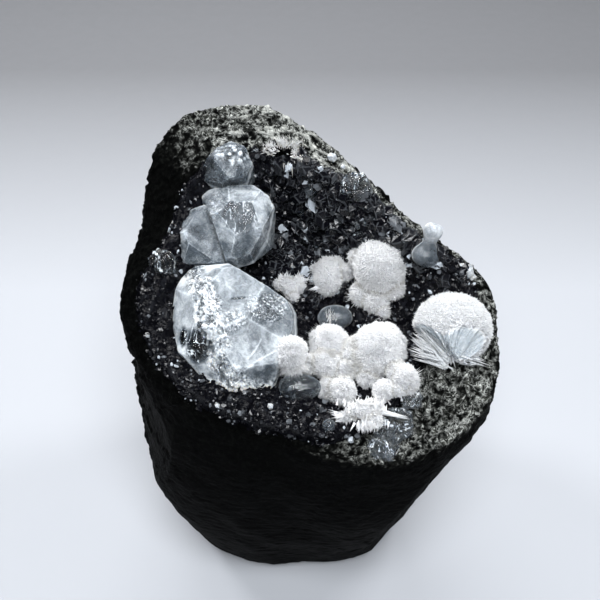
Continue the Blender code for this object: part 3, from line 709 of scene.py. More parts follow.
rock_finish.colour(rock_finish.blend(bloom_and_light.between(0.02, 0.95), stone, dust_and_light))
height = rock_finish.grain(0.45, 5.0, 0.75) + 0.5 * crest * bloom_and_light
rock_finish.bump(height, ROCK_BUMP)
flake_share = crest * (0.45 + 0.55 * speck) * bloom_and_light.between(0.08, 0.6)
flakes = rock_finish.mixed_with(flake_share, Roughness=0.3, Base_Color=(*PALE_BLOOM, 1.0),
                                Specular_IOR_Level=0.6)
rock_finish.bump(height, ROCK_BUMP, flakes)

# Painted light: the bloom mark is larger where the rock faces up, and upward chips on the wall are painted
# pale as if lit.
upward = np.clip(normal[..., 2], 0, 1)
ridge = eased(0.35 + 0.5 * worm + 0.4 * fine)
sheltered = eased((row - INNER_ROWS - 2) / 8) * np.ones(ROCK_COLUMNS)
sheltered[:rim_row] *= 1 - in_gas_hole(across, upslope)
bloom_and_light_mark = on_band * sheltered * ridge * round_value(BAND_BLOOM_AND_LIGHT, rim_angle) * (0.5 + 0.5 * upward)
lit_chips = eased(0.2 + 0.9 * chips(warped, 0.8, 70))
bloom_and_light_mark = bloom_and_light_mark + on_wall * 0.2 * eased(upward * 1.4 - 0.4) * lit_chips * rough_share
middle_pole = face_place((0.0, 0.0, float(floor_height(0.0, 0.0))))
rock_points, rock_faces = closed_grid(rock, middle_pole, (0.0, 0.0, 0.0))
new_piece("basalt_rock", rock_points, rock_faces, rock_finish.material, ["basalt_matrix"],
          marks={"bloom_and_light": np.concatenate([bloom_and_light_mark.ravel(), [0, 0]])})

# %% [markdown]
# The druse is a carpet of small black crystals. Under them lies a crust with pointed cells, and on it
# stand some thousands of tiny blocks with flat, glossy faces, each turned its own way. They are real
# shapes and not a bump, because a glint needs a flat face. A gas hole near the top has a smooth bowl.

# %% The druse's crust
CRUST_COLUMNS, CRUST_ROWS, UNDER_ROWS = 520, 100, 5
CRUST_POLE = 0.02
CRUST_SPREAD = 0.85
CONE_SIZE = 1.2
EDGE_DIP, EDGE_RISE, UNDERSIDE, HOLE_LINING = 0.5, 1.4, 0.5, 0.15
DRUSE_BLACK = (0.004, 0.004, 0.006)
BLACK_CRUST, GREY_CRUST = (0.002, 0.002, 0.003), (0.014, 0.015, 0.019)


def druse_surface(across, upslope):
    """Height of the druse: a floor of cones round scattered seeds, with lumps, that dips under the rock
    at its edge."""
    flat = stacked(across, upslope, 0 * across)
    inset, band = inset_and_band(across, upslope)
    full = eased((inset - band) / EDGE_RISE)
    tall = 0.3 * rough(flat, 2.4, 64) + 0.22 * rough(flat, 0.8, 65)
    body = CRUST_THICKNESS + DRUSE_HEIGHT * (0.4 + 0.5 * (grains(flat, CONE_SIZE, 60) - 0.45) + tall)
    hole = in_gas_hole(across, upslope)
    body = body * (1 - hole) + HOLE_LINING * hole
    return floor_height(across, upslope) + 0.2 - EDGE_DIP * (1 - full) + full * (CRUST_GAP + body)


crust_rim, rim_angle, rim_reach = rim_ring(CRUST_COLUMNS)
ragged_edge = 0.35 + 0.35 * rough(crust_rim, 1.6, 66) + 0.2 * rough(crust_rim, 0.7, 67)
edge = 1 - (round_value(BAND_WIDTH, rim_angle) - ragged_edge) / rim_reach
out = (np.linspace(CRUST_POLE, 1, CRUST_ROWS)**CRUST_SPREAD)[:, None] * edge
across, upslope = out * crust_rim[:, 0], out * crust_rim[:, 1]
crust_top = stacked(across, upslope, druse_surface(across, upslope))
out = np.linspace(1, CRUST_POLE, UNDER_ROWS)[:, None] * edge
across, upslope = out * crust_rim[:, 0], out * crust_rim[:, 1]
crust_under = stacked(across, upslope, floor_height(across, upslope) - UNDERSIDE)
crust = face_place(np.concatenate([crust_top, crust_under]))

druse_finish = Recipe("black_druse", DRUSE_BLACK, 0.2, Specular_IOR_Level=0.1)
cloud = druse_finish.grain(1.1, 3.0)
druse_finish.colour(druse_finish.blend(cloud.between(0.5, 0.85), BLACK_CRUST, GREY_CRUST))
druse_finish.roughness(0.08 + 0.35 * cloud)
druse_finish.bump(druse_finish.grain(0.45, 3.0), 0.08)
top_pole = face_place((0.0, 0.0, float(druse_surface(np.zeros(1), np.zeros(1))[0])))
under_pole = face_place((0.0, 0.0, float(floor_height(0.0, 0.0)) - UNDERSIDE))
crust_points, crust_faces = closed_grid(crust, top_pole, under_pole)
new_piece("druse_carpet", crust_points, crust_faces, druse_finish.material, ["druse_crust"],
          smooth=False)

# %% [markdown]
# Each block of the druse is a rhombic dodecahedron, the plainest body with a dozen equal faces. One is
# made, and thousands are placed by multiplying its points with turns and sizes in a single step; then
# every corner is jostled, so that no two look alike. The large ones have narrow bevels, because it is
# the edges of a black crystal that catch the light; the bevels also get a faint painted highlight. A
# few blocks are paler, partly as milky crystals and partly as painted glints.

# %% The druse's crystals
BLOCK_SEED, BLOCK_COUNT, BLOCK_SIZE = 11, 6000, (0.16, 0.5)
LARGE_BLOCK_SEED, LARGE_BLOCK_COUNT, LARGE_BLOCK_SIZE = 12, 420, (0.5, 0.92)
PALE_SEED, PALE_COUNT, PALE_SIZE = 13, 110, (0.2, 0.48)
SCATTER_BOX, SCATTER_TRIES = ((-21.0, -21.0), (23.0, 23.0)), 14
FLAT_SHARE, CORNER_REACH = 0.76, 0.95
BLOCK_CORNERS = 14
JOSTLE, STRETCH = 0.09, (0.55, 1.45)
MILKY_AND_GLINT_CHANCE, MILKY_AND_GLINT, FAINT_MILK_AND_GLINT = 0.04, 0.8, 0.3
BLACK_FACET, PALE_FACET = (0.0025, 0.0025, 0.004), (0.55, 0.60, 0.66)


def dodecahedron():
    """Rhombic dodecahedron: the corners of a cube, and six tips at twice its half width."""
    cube = np.array(list(itertools.product((-1, 1), repeat=3)), float)
    tips = np.concatenate([2 * np.eye(3), -2 * np.eye(3)])
    points = np.concatenate([cube, tips]) / 2
    faces = []
    for first, second in itertools.combinations(range(6), 2):
        shared = [k for k in range(8) if cube[k] @ tips[first] > 0 and cube[k] @ tips[second] > 0]
        if len(shared) == 2 and tips[first] @ tips[second] == 0:
            faces.append((8 + first, shared[0], 8 + second, shared[1]))
    faces = np.array(faces)
    look = np.cross(points[faces[:, 1]] - points[faces[:, 0]], points[faces[:, 2]] - points[faces[:, 0]])
    inward = (look * points[faces].mean(axis=1)).sum(axis=1) < 0
    faces[inward] = faces[inward][:, ::-1]
    return points, faces


def bevelled(shape):
    """A body whose faces are drawn in to a share of their size, with narrow faces down to its corners."""
    points, faces = shape
    middles = points[faces].mean(axis=1, keepdims=True)
    inner = middles + (points[faces] - middles) * FLAT_SHARE
    flats = np.arange(faces.size).reshape(faces.shape) + len(points)
    bevels = stacked(faces, np.roll(faces, -1, axis=1), np.roll(flats, -1, axis=1), flats)
    corners = np.concatenate([points * CORNER_REACH, inner.reshape(-1, 3)])
    return corners, np.concatenate([flats, bevels.reshape(-1, 4)])


def random_turns(count, chance):
    """Turns picked evenly at random, as matrices, from four normal numbers each."""
    four = chance.normal(size=(4, count))
    w, x, y, z = four / np.linalg.norm(four, axis=0)
    rows = [1 - 2 * (y * y + z * z), 2 * (x * y - w * z), 2 * (x * z + w * y),
            2 * (x * y + w * z), 1 - 2 * (x * x + z * z), 2 * (y * z - w * x),
            2 * (x * z - w * y), 2 * (y * z + w * x), 1 - 2 * (x * x + y * y)]
    return np.stack(rows, axis=-1).reshape(count, 3, 3)


def placed(shape, places, turns, sizes):
    """Copies of one shape: its points times a size for each axis, turned, and moved to each place."""
    points, faces = shape
    many = np.einsum("nij,nkj->nki", turns, points[None] * sizes[:, None, :]) + places[:, None, :]
    shift = np.arange(len(places))[:, None, None] * len(points)
    return many.reshape(-1, 3), [(faces[None] + shift).reshape(-1, faces.shape[1])]


def upper_right(across, upslope):
    """1 on the hollow's upper right wall, where the druse is coarse, and 0 at its front and left."""
    return eased((upslope + 1) / 7) * eased((across + 7) / 6)


def mostly_upper(across, upslope):
    """The small crystals stand mostly on the upper right wall, and more thinly along the front and left."""
    return np.maximum(upper_right(across, upslope), 0.25 + 0.15 * eased((-4 - upslope) / 4))


def druse_blocks(shape, count, seed, size_range, share, lift=0.2):
    """Blocks scattered over the druse: places kept by a share from 0 to 1, and a random turn and size."""
    chance = np.random.default_rng(seed)
    spread = chance.uniform(*SCATTER_BOX, (count * SCATTER_TRIES, 2))
    inset, band = inset_and_band(*spread.T)
    wanted = chance.uniform(size=len(spread)) < share(*spread.T)
    spread = spread[(inset > band - 0.1) & (in_gas_hole(*spread.T) < 0.01) & wanted][:count]
    number, corners, (low, high) = len(spread), len(shape[0]), size_range
    size = (low + (high - low) * chance.uniform(size=number)**2) * (0.8 + 0.45 * upper_right(*spread.T))
    sizes = size[:, None] * chance.uniform(*STRETCH, (number, 3))
    places = face_place(stacked(*spread.T, druse_surface(*spread.T) + lift * size))
    # Pale blocks: partly milky crystals, partly painted glints on the black druse.
    milky = chance.uniform(size=number) < MILKY_AND_GLINT_CHANCE
    pale = np.where(milky, MILKY_AND_GLINT, FAINT_MILK_AND_GLINT * chance.uniform(size=number)**16)
    edge = (np.arange(corners) < BLOCK_CORNERS) * (corners > BLOCK_CORNERS)
    marks = {"pale": np.repeat(pale, corners), "edge": np.tile(edge, number).astype(float)}
    points, faces = placed(shape, places, random_turns(number, chance), sizes)
    jostled = points + chance.normal(0, JOSTLE, points.shape) * np.repeat(size, corners)[:, None]
    return (jostled, faces), marks


def joined_marks(many):
    """The marks of several bodies, end to end."""
    return {name: np.concatenate([marks[name] for marks in many]) for name in many[0]}


block_finish = Recipe("druse_facets", DRUSE_BLACK, 0.08, Specular_IOR_Level=0.3)
# Painted light: the mark edge paints a faint highlight on the bevels, and the paler blocks stand partly for
# glints.
pale = block_finish.mark("pale") + 0.16 * block_finish.mark("edge") * block_finish.grain(1.6, 2.0)
block_finish.colour(block_finish.blend(pale.between(0.0, 1.0), BLACK_FACET, PALE_FACET))
block_finish.roughness(0.03 + 0.12 * block_finish.grain(1.1, 1.0))
block_finish.bump(block_finish.grain(0.35, 2.0), 0.06)
plain_block = dodecahedron()
bevelled_block = bevelled(plain_block)
made = [
    druse_blocks(plain_block, BLOCK_COUNT, BLOCK_SEED, BLOCK_SIZE, mostly_upper),
    druse_blocks(bevelled_block, LARGE_BLOCK_COUNT, LARGE_BLOCK_SEED, LARGE_BLOCK_SIZE, upper_right),
]
block_points, block_faces = merged([body for body, _ in made])
new_piece("druse_crystals", block_points, block_faces, block_finish.material, smooth=False,
          marks=joined_marks([marks for _, marks in made]))

# %% [markdown]
# An analcime crystal is a body with many flat facets. Seen from its middle, each facet is a plane at
# some distance, and the skin is wherever the nearest plane is met. A very high power of each plane's
# nearness, and then the root of the sum, gives that skin with edges that are a little rounded. So one
# formula makes the whole crystal, and its mesh is as fine as the grid of directions.

# %% Crystal facets
LARGE_ANALCIME = ((-7.9, -4.6, -1.7), (
    (92, 8, 7.9), (57, 8, 6.5), (27, 10, 7.4), (0, 6, 7.3), (-21, 8, 7.1), (-45, 6, 8.2), (-80, 6, 7.9),
    (-100, 5, 7.5), (-137, 6, 6.6), (-166, 6, 6.7), (171, 8, 7.4), (157, 8, 8.1), (133, 8, 8.8),
    (78, 72, 5.0), (20, 66, 5.35), (-25, 74, 5.15), (-66, 47, 6.7), (-118, 54, 6.1), (176, 50, 6.0),
    (125, 50, 6.4), (100, 38, 7.4), (45, -35, 6.6), (135, -35, 7.0), (225, -35, 6.9), (315, -35, 6.8),
    (0, -88, 6.0),
))
PAIR_LEFT_ANALCIME = ((-12.2, 6.6, -0.9), (
    (110, 7, 3.3), (135, 7, 3.6), (163, 7, 3.6), (187, 7, 3.5), (217, 8, 3.0), (270, 8, 3.3), (20, 5, 3.2),
    (0, 70, 1.45), (215, 48, 2.3), (262, 52, 2.3), (140, 55, 2.3), (60, -40, 3.4), (180, -40, 3.4),
    (300, -40, 3.4),
))
PAIR_RIGHT_ANALCIME = ((-7.45, 8.2, -1.5), (
    (94, 8, 4.8), (108, 8, 5.3), (172, 8, 4.9), (201, 6, 3.0), (270, 8, 4.8), (293, 8, 4.45),
    (326, 8, 3.75), (346, 8, 3.7), (24, 8, 4.9), (53, 8, 5.1), (132, 50, 4.2), (78, 54, 4.1), (15, 42, 4.0),
    (300, 52, 4.0), (225, 56, 3.9), (350, 82, 3.6), (45, -38, 4.4), (165, -38, 4.4), (285, -38, 4.4),
))
TOP_ANALCIME = ((-8.7, 15.3, 0.3), (
    (145, 8, 2.2), (118, 8, 2.35), (62, 8, 2.75), (23, 8, 2.8), (338, 8, 2.85), (286, 8, 2.6), (249, 8, 2.85),
    (193, 8, 3.1), (100, 56, 2.1), (350, 52, 2.3), (225, 50, 2.3), (0, 84, 1.9), (90, -40, 2.8),
    (270, -40, 2.8),
))
FRONT_ANALCIMES = (
    ((10.6, -15.7, 0.2), (
        (75, 12, 1.9), (130, 18, 1.6), (190, 14, 1.7), (245, 14, 1.8), (300, 16, 1.7), (0, 12, 1.9),
        (60, 56, 1.5), (190, 55, 1.5), (310, 58, 1.6), (90, -45, 1.8), (270, -45, 1.8),
    )),
    ((9.3, -18.0, 0.3), (
        (95, 12, 1.5), (150, 18, 1.4), (210, 14, 1.5), (268, 14, 1.5), (325, 16, 1.5), (30, 12, 1.4),
        (80, 56, 1.2), (215, 55, 1.2), (330, 58, 1.3), (90, -45, 1.4), (270, -45, 1.4),
    )),
)
SMALL_FACETS = (
    (80, 12, 1.0), (130, 20, 0.92), (185, 14, 1.0), (240, 14, 0.95), (300, 16, 1.0), (355, 12, 0.94),
    (35, 14, 1.0), (60, 60, 0.84), (200, 55, 0.82), (320, 58, 0.88), (90, -45, 0.95), (270, -45, 0.95),
)
EDGE_SHARPNESS = 90
TOWARDS_VIEWER = np.array([0.0, -0.225, 0.974])
EDGE_WIDTH, OUTLINE_LIGHT_WIDTH = 0.02, 0.22
ON_FACET_START, ON_FACET_SPAN = 0.985, 0.03


def sphere_grid(rows, columns):
    """Directions on a ball, in rows from pole to pole along the across axis, so that no pole faces out."""
    polar = (np.arange(rows) + 0.5) / rows * math.pi
    turn = np.linspace(0, math.tau, columns, endpoint=False)
    ring = np.sin(polar)[:, None]
    return stacked(np.cos(polar)[:, None] + 0 * turn, ring * np.cos(turn), ring * np.sin(turn))


POLES = np.array([(1.0, 0.0, 0.0), (-1.0, 0.0, 0.0)])


def looks(facets):
    """The way each facet looks, as directions across, upslope and outward."""
    around, up = np.radians([f[0] for f in facets]), np.radians([f[1] for f in facets])
    return stacked(np.cos(around) * np.cos(up), np.sin(around) * np.cos(up), np.sin(up))


def nearness(directions, facets):
    """For each direction, one over the distance to each facet's plane."""
    return np.maximum(directions @ looks(facets).T, 0) / [f[2] for f in facets]


def crystal_body(crystal, rows, columns, relief):
    """A crystal's closed grid in the face frame, its skin moved by a relief in mm at each place."""
    middle, facets = crystal

    def skin(directions):
        reach = (nearness(directions, facets)**EDGE_SHARPNESS).sum(axis=-1)**(-1 / EDGE_SHARPNESS)
        local = np.asarray(middle) + directions * reach[..., None]
        return local + directions * relief(local)[..., None]

    return closed_grid(skin(sphere_grid(rows, columns)), *skin(POLES))


def facet_nearness(local, crystal):
    """The way from a crystal's middle to each place, and how near each facet is that way."""
    middle, facets = crystal
    away = local - np.asarray(middle)
    way = away / np.linalg.norm(away, axis=-1, keepdims=True)
    return way, nearness(way, facets)


def facet_marks(local, crystal, seed):
    """For each point: its facet's own number from -1 to 1, how near it is to a facet's edge, and how
    near it is to the crystal's outline seen from in front, which is used for a painted rim light."""
    way, near = facet_nearness(local, crystal)
    order = np.sort(near, axis=-1)
    facet = near.argmax(axis=-1)
    number = cell_number(stacked(facet, 0 * facet, 0 * facet), seed)
    painted_outline = eased(1 - abs(way @ TOWARDS_VIEWER) / OUTLINE_LIGHT_WIDTH)
    return number, eased(1 - (1 - order[..., -2] / order[..., -1]) / EDGE_WIDTH), painted_outline


def on_facet(local, crystal, number):
    """1 on one facet of a crystal, falling to 0 just outside it."""
    near = facet_nearness(local, crystal)[1]
    others = np.delete(near, number, axis=-1).max(axis=-1)
    return eased((near[..., number] / others - ON_FACET_START) / ON_FACET_SPAN)


print("large analcime facets:", len(LARGE_ANALCIME[1]))

# %% [markdown]
# Analcime is clear, yet these crystals show white: fractures and etched patches scatter the light. The
# finish is clear glass mixed with a milky body, by a value on each point that says how clouded it is;
# that value also carries a painted rim light, raised along each crystal's outline seen from in front.
# A second value says how etched the skin is. Thin fractures run through both, where a noise crosses
# its middle. Pure glass would show only the black rock behind it.

# %% The clear finish
ANALCIME_IOR = 1.487
MILK_REACH = (0.85, 0.95, 1.1)
CLEAR_BUMP = 0.16


def clear_finish(name, tint, dim, milk, milk_radius):
    """Glass mixed with a milky body by the mark cloud, dim blue to milk white. The mark etch roughens
    it, and adds a glinting coat and thin fractures."""
    finish = Recipe(name, tint, 0.05, IOR=ANALCIME_IOR, Transmission_Weight=1.0, Specular_IOR_Level=0.35)
    veil = finish.grain(2.8, 5.0, 0.62, 1.5)
    wisp = finish.grain(0.8, 5.0, 0.75, 2.5)
    etch = finish.mark("etch")
    off_middle = finish.grain(1.5, 3.0, 0.6, 3.0) - 0.5
    off_middle = finish.node("ShaderNodeMath", {"operation": "ABSOLUTE"}, {0: off_middle})
    fracture = (1 - 30.0 * off_middle).between(0.0, 1.0) * (etch - 0.1).between(0.0, 0.6)
    cloud = finish.mark("cloud") + 0.7 * (veil - 0.5) + (0.5 + 0.9 * etch) * (wisp - 0.5) + 0.5 * fracture
    body = finish.mixed_with(cloud.between(0.0, 1.0), Roughness=0.35, IOR=ANALCIME_IOR,
                             Specular_IOR_Level=0.12, Subsurface_Weight=1.0,
                             Subsurface_Scale=milk_radius * MM, Subsurface_Radius=MILK_REACH,
                             Coat_Roughness=0.12)
    finish.feed(body.inputs["Coat Weight"], (etch - 0.2).between(0.0, 0.6))
    finish.colour(finish.blend(cloud.between(0.55, 1.55), dim, milk), body)
    finish.roughness(0.03 + 0.3 * etch)
    finish.roughness(0.16 + 0.2 * etch, body)
    height = finish.grain(0.4, 5.0, 0.75) * (0.25 + 1.2 * etch) + 0.35 * veil + 0.3 * fracture
    finish.bump(height, CLEAR_BUMP)
    finish.bump(height, CLEAR_BUMP, body)
    return finish.material


def analcime_piece(name, node, bodies, marks):
    """One clear piece from crystals in the face frame and each one's marks."""
    points, faces = merged(bodies)
    new_piece(name, face_place(points), faces, analcime_finish, [node],
              marks=joined_marks(marks))


analcime_finish = clear_finish("clear_analcime", (0.97, 0.985, 1.0), (0.12, 0.145, 0.17),
                               (0.88, 0.93, 0.97), 1.0)
print("clear finish ready")

# %% [markdown]
# The large crystal's marks follow what is seen on it: a bright splintered ridge from top to bottom, an
# etched patch at the right, streaked clear windows low on the left, a clear facet at the lower right,
# and smooth facets between. Each is a line or an oval on the face, with soft edges.

# %% The large analcime
LARGE_GRID = (240, 410)
RIDGE = ((-12.6, 1.6), (-11.2, -1.0), (-10.6, -3.2), (-10.9, -5.0), (-9.6, -6.4), (-9.2, -9.4), (-7.4, -11.0))
RIDGE_FORK = ((-10.8, 0.6), (-9.6, -2.4), (-9.3, -4.8), (-8.2, -7.0))
ETCHED_PATCH = ((-3.7, -2.7), (2.6, 1.8))
PITTED_PATCH = ((-7.4, -4.2), (1.5, 1.4))
WINDOW = ((-11.4, -7.0), (1.4, 2.0))
LOWER_WINDOW = ((-13.2, -6.0), (0.5, 1.2))
CLEAR_FACET = ((-4.2, -9.7), (2.0, 1.3))
CORNER_PATCH = ((-12.4, 2.5), (1.7, 1.2))
GREY_FACET = ((-5.8, -6.8), (1.7, 2.0))
BRIGHT_PLATE = ((-12.9, -2.6), (1.6, 2.8))
CONCHOIDAL_MIDDLE, CONCHOIDAL_REACH = (-9.9, -4.3), 5.9
SHORT_CRACK = ((-7.7, -1.7), (-6.3, -1.5))
FACET_LINE = ((-6.2, -9.9), (-4.7, -8.7), (-2.6, -7.5))
RAY_CENTRE, RAY_NUMBER = np.array((-8.6, -9.0)), 26
PIT_SIZE, PIT_SEED = 0.36, 90


def from_line(local, line):
    """Distance on the face to a line of several points."""
    best = np.full(local.shape[:-1], np.inf)
    for start, end in zip(line, line[1:]):
        start, step = np.array(start), np.array(end) - np.array(start)
        along = np.clip((local[..., :2] - start) @ step / (step @ step), 0, 1)
        best = np.minimum(best, np.linalg.norm(local[..., :2] - start - along[..., None] * step, axis=-1))
    return best


def near_line(local, line, width):
    """1 on a line across the face and 0 past a width from it, eased between."""
    return eased(1.5 - from_line(local, line) / width)


def near_spot(local, spot):
    """1 in the middle of an oval on the face and 0 outside it."""
    (across, upslope), (wide, tall) = spot
    out = np.hypot((local[..., 0] - across) / wide, (local[..., 1] - upslope) / tall)
    return eased(1.7 + 0.25 * rough(local, 1.1, 96) - 1.4 * out)


def near_arc(local, width):
    """1 on the curved edge of the conchoidal break at the lower right, and 0 past a width from it."""
    step = local[..., :2] - CONCHOIDAL_MIDDLE
    off = abs(np.hypot(step[..., 0], step[..., 1]) - CONCHOIDAL_REACH) / width
    turn = np.degrees(np.arctan2(step[..., 1], step[..., 0]))
    return eased(1.5 - off) * eased((turn + 52) / 10) * eased((-16 - turn) / 10)


def streaks(local, size, seed):
    """Wavy wisps drawn out upslope: 1 on each wisp and 0 between."""
    bent = local * (1.0, 0.5, 1.0) + 0.35 * size * rough(local, 0.8 * size, seed)[..., None]
    return eased(worms(bent, size, seed + 1) * 1.3 - 0.3)


def ridge_share(local):
    """1 on the fractured ridge and its fork, with a ragged edge."""
    ragged = 0.5 + 0.5 * rough(local, 0.8, 87)
    fork = near_line(local, RIDGE_FORK, 0.35 + 0.5 * ragged)
    return np.maximum(near_line(local, RIDGE, 0.7 + 0.7 * ragged), fork)


def window_share(local):
    """1 in the middle of the two clear windows."""
    return np.maximum(near_spot(local, WINDOW), near_spot(local, LOWER_WINDOW))


def splinters(local):
    """Long chips in two sizes, for the fractured ridge and bottom."""
    return chips(local * (1.0, 0.6, 1.0), 0.55, 80) + 0.6 * chips(local, 0.3, 85)


def large_relief(local):
    """Splintered ridge and bottom, pits on the etched patches, and steps like those of broken glass."""
    ridge = ridge_share(local)
    bottom = eased((-10.6 - local[..., 1]) / 1.0)
    etched = np.maximum(near_spot(local, ETCHED_PATCH), 0.8 * near_spot(local, PITTED_PATCH))
    pits = etched * (grains(local, PIT_SIZE, PIT_SEED) - 0.5)
    away = local[..., :2] - RAY_CENTRE
    rays = np.sin(RAY_NUMBER * np.arctan2(away[..., 1], away[..., 0])) * near_spot(local, CLEAR_FACET)
    steps = 0.05 * layered(local, 1.6, 93, 3) + 0.06 * chips(local, 1.9, 94)
    lines = 0.04 * near_line(local, FACET_LINE, 0.14) - 0.12 * near_line(local, SHORT_CRACK, 0.12)
    lines = lines + 0.05 * near_arc(local, 0.13) + 0.12 * window_share(local) * streaks(local, 0.7, 98)
    broken_up = (0.18 * ridge + 0.25 * bottom) * splinters(local) + 0.2 * ridge * streaks(local, 0.9, 88)
    return broken_up + 0.15 * pits + 0.03 * rays + steps + lines


def large_marks(local):
    """How clouded and how etched the large crystal is at each place."""
    facet, facet_edge, painted_outline = facet_marks(local, LARGE_ANALCIME, 97)
    ridge, window = ridge_share(local), window_share(local)
    etched = np.maximum(near_spot(local, ETCHED_PATCH), near_spot(local, PITTED_PATCH))
    clear = np.maximum(near_spot(local, CLEAR_FACET), 0.5 * near_spot(local, GREY_FACET))
    dots = eased((grains(local, PIT_SIZE, PIT_SEED) - 0.55) / 0.3)
    lower, bottom = eased((-5.0 - local[..., 1]) / 2.5), eased((-10.2 - local[..., 1]) / 1.3)
    touch = eased(1.2 - (local[..., 2] - druse_surface(local[..., 0], local[..., 1])) / 0.5) * bottom
    # Painted rim light: the outline seen from in front is made cloudier, so whiter.
    cloud = 0.72 + 0.08 * facet + 0.12 * facet_edge + 0.5 * painted_outline + 0.8 * touch + 0.14 * lower
    cloud += ridge * (0.1 + 0.5 * splinters(local) + 0.6 * (streaks(local, 0.9, 88) - 0.3))
    cloud += bottom * (0.6 * splinters(local) + 0.1) + etched * (0.6 * dots - 0.15)
    cloud += 0.3 * near_arc(local, 0.07) + 0.25 * near_line(local, FACET_LINE, 0.07)
    cloud += 0.15 * near_spot(local, BRIGHT_PLATE) - 0.3 * near_line(local, SHORT_CRACK, 0.12)
    cloud += (0.1 + 0.1 * lower) * layered(local * (1.0, 0.6, 1.0), 0.9, 110, 3)
    cloud -= window * (0.75 - 1.3 * streaks(local, 0.6, 98)) + 0.1 * clear
    cloud -= near_spot(local, CORNER_PATCH) * (0.55 - 0.5 * dots)
    etch = 0.1 + 0.15 * facet_edge + 0.7 * ridge + 0.7 * etched + 0.5 * bottom + 0.1 * lower
    return {"cloud": cloud, "etch": np.clip(etch, 0, 1)}


large_body = crystal_body(LARGE_ANALCIME, *LARGE_GRID, large_relief)
analcime_piece("large_crystal", "large_analcime", [large_body], [large_marks(large_body[0])])

# %% [markdown]
# The other analcimes are made the same way, with plainer marks. The upper pair is greyer at the left,
# and bluish white with a grey window at the right. The top one is frosted with small knobs. The small
# ones in the druse are nearly clear.

# %% The other analcimes
PAIR_GRID, SMALL_GRID = (130, 200), (56, 84)
CLEAR_NUMBER = 15
KNOB_SIZE, KNOB_SEED = 0.62, 129
PAIR_STRIP = ((-4.7, 8.2), (0.9, 3.2))
PAIR_ETCHED = ((-9.9, 10.2), (1.5, 2.3))
PAIR_PAINTED_HIGHLIGHT = ((-13.7, 6.3), (0.7, 0.9))
TOP_KNOBS = ((-7.9, 16.1), (2.1, 1.7))
TOP_LOBE = ((-10.9, 15.1), (1.0, 1.6))
SMALL_ANALCIMES = {
    "druse_analcime": (6.5, 12.2, 0.2, 1.6),
    "left_analcime": (-16.0, 3.0, 0.1, 1.45),
    "edge_analcime": (12.7, -12.9, -0.5, 0.95),
}


def small_relief(local):
    """Shallow chips and a little grain."""
    return 0.05 * chips(local, 0.9, 120) + 0.04 * layered(local, 0.8, 125, 3)


def clear_share(local):
    """1 on the right crystal's clear facet, with a ragged edge."""
    return on_facet(local + 0.2 * rough(local, 0.7, 134)[..., None], PAIR_RIGHT_ANALCIME, CLEAR_NUMBER)


def chipped_relief(local):
    """Deeper chips, for the small crystals, which are worn."""
    return small_relief(local) + 0.22 * chips(local, 0.7, 136)


def pair_relief(local):
    """Wavy etched steps at the top left of the pair, and ripples across its clear facet."""
    waves = np.sin(9 * local[..., 1] + 5 * rough(local, 1.2, 127))
    etched = near_spot(local, PAIR_ETCHED) * (0.06 * waves + 0.22 * chips(local, 0.5, 128))
    return small_relief(local) + etched + 0.08 * clear_share(local) * streaks(local, 0.7, 126)


def top_relief(local):
    """Round knobs over the middle of the top crystal."""
    knobs = grains(local, KNOB_SIZE, KNOB_SEED) - 0.5
    return small_relief(local) + 0.32 * near_spot(local, TOP_KNOBS) * knobs


def crystal_marks(local, crystal, cloud, etch, edge=0.15, wisps=0.0):
    """Cloud and etch that change slowly, facet by facet, with white wisps inside and a whiter outline, a
    painted rim light.
    """
    facet, facet_edge, painted_outline = facet_marks(local, crystal, 130)
    # Painted rim light: the outline seen from in front is made cloudier, so whiter.
    cloud = cloud + 0.06 * facet + 0.15 * rough(local, 2.2, 131) + edge * facet_edge + 0.4 * painted_outline
    cloud = cloud + 0.1 * layered(local, 0.9, 133, 3) + wisps * (streaks(local, 0.6, 135) - 0.3)
    return {"cloud": cloud, "etch": np.clip(etch + 0.2 * rough(local, 1.2, 132) + 0.2 * facet_edge, 0, 1)}


left = crystal_body(PAIR_LEFT_ANALCIME, *PAIR_GRID, small_relief)
right = crystal_body(PAIR_RIGHT_ANALCIME, *PAIR_GRID, pair_relief)
left_marks = crystal_marks(left[0], PAIR_LEFT_ANALCIME, 0.58, 0.2)
# Painted highlight: a bright facet at the left of the left crystal.
left_marks["cloud"] += 0.25 * near_spot(left[0], PAIR_PAINTED_HIGHLIGHT)
right_marks = crystal_marks(right[0], PAIR_RIGHT_ANALCIME, 0.64, 0.25)
right_marks["cloud"] += 0.3 * near_spot(right[0], PAIR_STRIP)
right_marks["cloud"] -= clear_share(right[0]) * (0.25 - 0.6 * streaks(right[0], 0.6, 126))
right_marks["etch"] = np.clip(right_marks["etch"] + 0.35 * near_spot(right[0], PAIR_ETCHED), 0, 1)
analcime_piece("upper_crystals", "upper_analcime_pair", [left, right], [left_marks, right_marks])

top = crystal_body(TOP_ANALCIME, *PAIR_GRID, top_relief)
top_marks = crystal_marks(top[0], TOP_ANALCIME, 0.55, 0.4)
knobs = eased((grains(top[0], KNOB_SIZE, KNOB_SEED) - 0.35) / 0.5)
top_marks["cloud"] += near_spot(top[0], TOP_KNOBS) * (0.8 * knobs - 0.1) - 0.3 * near_spot(top[0], TOP_LOBE)
analcime_piece("top_crystal", "top_analcime", [top], [top_marks])

bodies = [crystal_body(crystal, *SMALL_GRID, chipped_relief) for crystal in FRONT_ANALCIMES]
marks = [crystal_marks(points, crystal, 0.5, 0.4, 0.4, 1.2)
         for (points, _), crystal in zip(bodies, FRONT_ANALCIMES)]
analcime_piece("front_crystals", "front_analcimes", bodies, marks)

